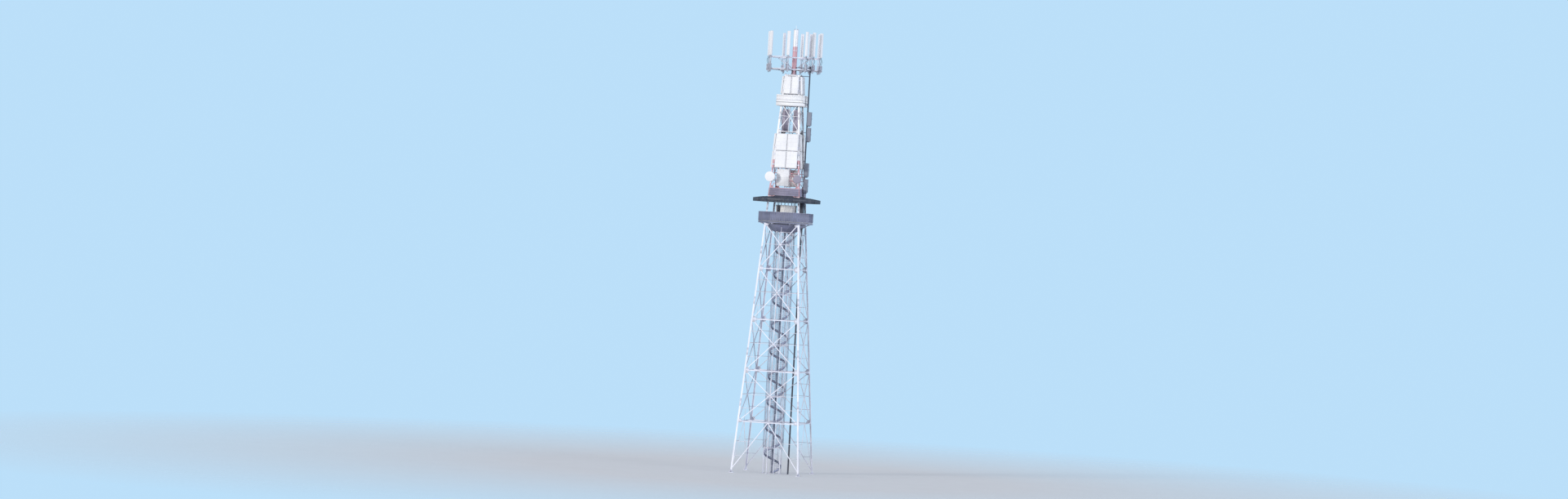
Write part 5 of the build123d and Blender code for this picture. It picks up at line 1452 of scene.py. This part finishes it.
class TOWER_OT_platform_fittings(bpy.types.Operator):
    """Infill sheets and bars, corner posts, fascia and bearer bolts of the rest platform"""

    bl_idname = "tower.platform_fittings"
    bl_label = "Rest platform fittings"

    def execute(self, context):
        low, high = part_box("platform_rails")
        edge = high.x - 0.011
        floor, top = low.z, high.z
        side = join(
            rod(edge, np.linspace(-edge + 0.09, edge - 0.09, 17), (floor + 0.080, top - 0.022), X, 0.0045, 6),
            bar(edge, (-edge, edge), top + 0.002, UP, 0.026, 0.006),
            bar(edge, edge, (floor, top - 0.002), X, 0.026, 0.026),
            heads(0.006, at(edge + 0.011, np.linspace(-edge + 0.1, edge - 0.1, 7), floor + 0.04), X),
            bar(edge - 0.007, (-edge + 0.02, edge - 0.02), (floor + top) / 2, X, top - floor - 0.05, 0.003),
            bar(edge + 0.008, (-edge - 0.008, edge + 0.006), floor - 0.135, X, 0.250, 0.004))
        piece("platform_bars", "white", around(side, QUARTERS))
        return {"FINISHED"}


class TOWER_OT_stage(bpy.types.Operator):
    """Pale floor, pale blue surroundings, soft light and the camera"""

    bl_idname = "tower.stage"
    bl_label = "Stage"

    def execute(self, context):
        scene = context.scene
        mesh = bpy.data.meshes.new("floor")
        reach, corners, drop = 70.0, 96, 0.002
        rim = polar(reach, 360.0 / corners * np.arange(corners), -drop)
        mesh.from_pydata(rim.tolist(), [], [list(range(len(rim)))])
        floor = bpy.data.objects.new("floor", mesh)
        scene.collection.objects.link(floor)
        ground = Finish("floor_paint")
        pale = scene.tower_colours.floor
        tone = ground.mix(ground.noise(0.35, 5.0), rgba(pale, 0.97), rgba(pale, 1.03))
        mesh.materials.append(ground.done(tone, 0.9))
        squares = [ground.math("POWER", ground.axis(index), 2.0) for index in (0, 1)]
        away = ground.math("SQRT", ground.math("ADD", *squares))
        ground.put(ground.shader, {"Alpha": ground.spread(away, 16.0, 64.0, 1.0, 0.0)})

        world = bpy.data.worlds.new("surroundings")
        scene.world = world
        world.use_nodes = True
        sky = Graph(world.node_tree)
        rays = sky.node("ShaderNodeLightPath", {})
        seen = sky.math("MAXIMUM", rays["Is Camera Ray"], rays["Is Glossy Ray"])
        seen = sky.math("MAXIMUM", seen, rays["Is Transmission Ray"])
        fill = sky.node("ShaderNodeBackground", {"Color": (0.83, 0.88, 1.0, 1.0), "Strength": 0.50})[0]
        blue = sky.node("ShaderNodeBackground", {"Color": (0.50, 0.74, 0.95, 1.0), "Strength": 1.0})[0]
        mixed = sky.node("ShaderNodeMixShader", {0: seen, 1: fill, 2: blue})[0]
        sky.node("ShaderNodeOutputWorld", {0: mixed})

        for name, azimuth, elevation, power, softness, tint in (
                ("key_light", -34.0, 9.0, 1.80, 10.0, (1.0, 0.97, 0.93)),
                ("fill_light", 68.0, 5.0, 1.60, 40.0, (0.87, 0.91, 1.0))):
            lamp = bpy.data.lights.new(name, "SUN")
            lamp.energy = power
            lamp.angle = math.radians(softness)
            lamp.color = tint
            obj = bpy.data.objects.new(name, lamp)
            a, e = math.radians(azimuth), math.radians(elevation)
            towards = Vector((math.sin(a) * math.cos(e), -math.cos(a) * math.cos(e), math.sin(e)))
            obj.rotation_euler = towards.to_track_quat("Z", "Y").to_euler()
            obj.location = towards * 60.0
            scene.collection.objects.link(obj)

        turn, roll = math.radians(12.0), math.radians(3.2)
        distance, tall, picture = 300.0, 33.4, 1920.0 / 611.0
        middle = Vector((0.0, 0.0, HEIGHT / 2))
        eye = middle + Vector((math.sin(turn), -math.cos(turn), 0.0)) * distance
        camera = bpy.data.cameras.new("camera")
        camera.sensor_fit = "HORIZONTAL"
        camera.sensor_width = 36.0
        camera.lens = camera.sensor_width * distance / (tall * picture)
        camera.clip_end = 2000.0
        obj = bpy.data.objects.new("camera", camera)
        look = (eye - middle).to_track_quat("Z", "Y").to_matrix().to_4x4()
        obj.matrix_world = Matrix.Translation(eye) @ look @ Matrix.Rotation(roll, 4, "Z")
        scene.collection.objects.link(obj)
        scene.camera = obj
        scene.view_settings.view_transform = "Standard"
        return {"FINISHED"}


class TOWER_PT_panel(bpy.types.Panel):
    """Buttons and settings of the tower in the sidebar."""

    bl_idname = "TOWER_PT_panel"
    bl_label = "Observation tower"
    bl_space_type = "VIEW_3D"
    bl_region_type = "UI"
    bl_category = "Tower"

    def draw(self, context):
        column = self.layout.column()
        for step in STEPS:
            column.operator(step.bl_idname, text=step.bl_label)
        for group in (context.scene.tower_colours, context.scene.tower_sizes):
            for name in group.bl_rna.properties.keys():
                if name not in ("rna_type", "name"):
                    column.prop(group, name)


STEPS = (TOWER_OT_finishes, TOWER_OT_gussets, TOWER_OT_splices, TOWER_OT_inner_legs, TOWER_OT_sub_bracing,
         TOWER_OT_feet, TOWER_OT_treads, TOWER_OT_stair_rail, TOWER_OT_shaft_fittings,
         TOWER_OT_deck_fittings, TOWER_OT_enclosure, TOWER_OT_roof_fittings, TOWER_OT_cables, TOWER_OT_boxes,
         TOWER_OT_ladder_cage, TOWER_OT_cabinet_fittings, TOWER_OT_platform_fittings, TOWER_OT_array_fittings,
         TOWER_OT_slim_panels, TOWER_OT_louvres, TOWER_OT_dishes, TOWER_OT_crown, TOWER_OT_lights,
         TOWER_OT_stage)
CLASSES = (TowerColours, TowerSizes) + STEPS + (TOWER_PT_panel,)


def register():
    """Add the classes and the tower's settings to Blender."""
    for cls in CLASSES:
        bpy.utils.register_class(cls)
    bpy.types.Scene.tower_colours = bpy.props.PointerProperty(type=TowerColours)
    bpy.types.Scene.tower_sizes = bpy.props.PointerProperty(type=TowerSizes)


def unregister():
    """Take them out again."""
    del bpy.types.Scene.tower_sizes
    del bpy.types.Scene.tower_colours
    for cls in reversed(CLASSES):
        bpy.utils.unregister_class(cls)


def main():
    """Dress the tower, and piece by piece."""
    register()
    for step in STEPS:
        group, name = step.bl_idname.split(".")
        getattr(getattr(bpy.ops, group), name)()


if __name__ == "__main__":
    main()
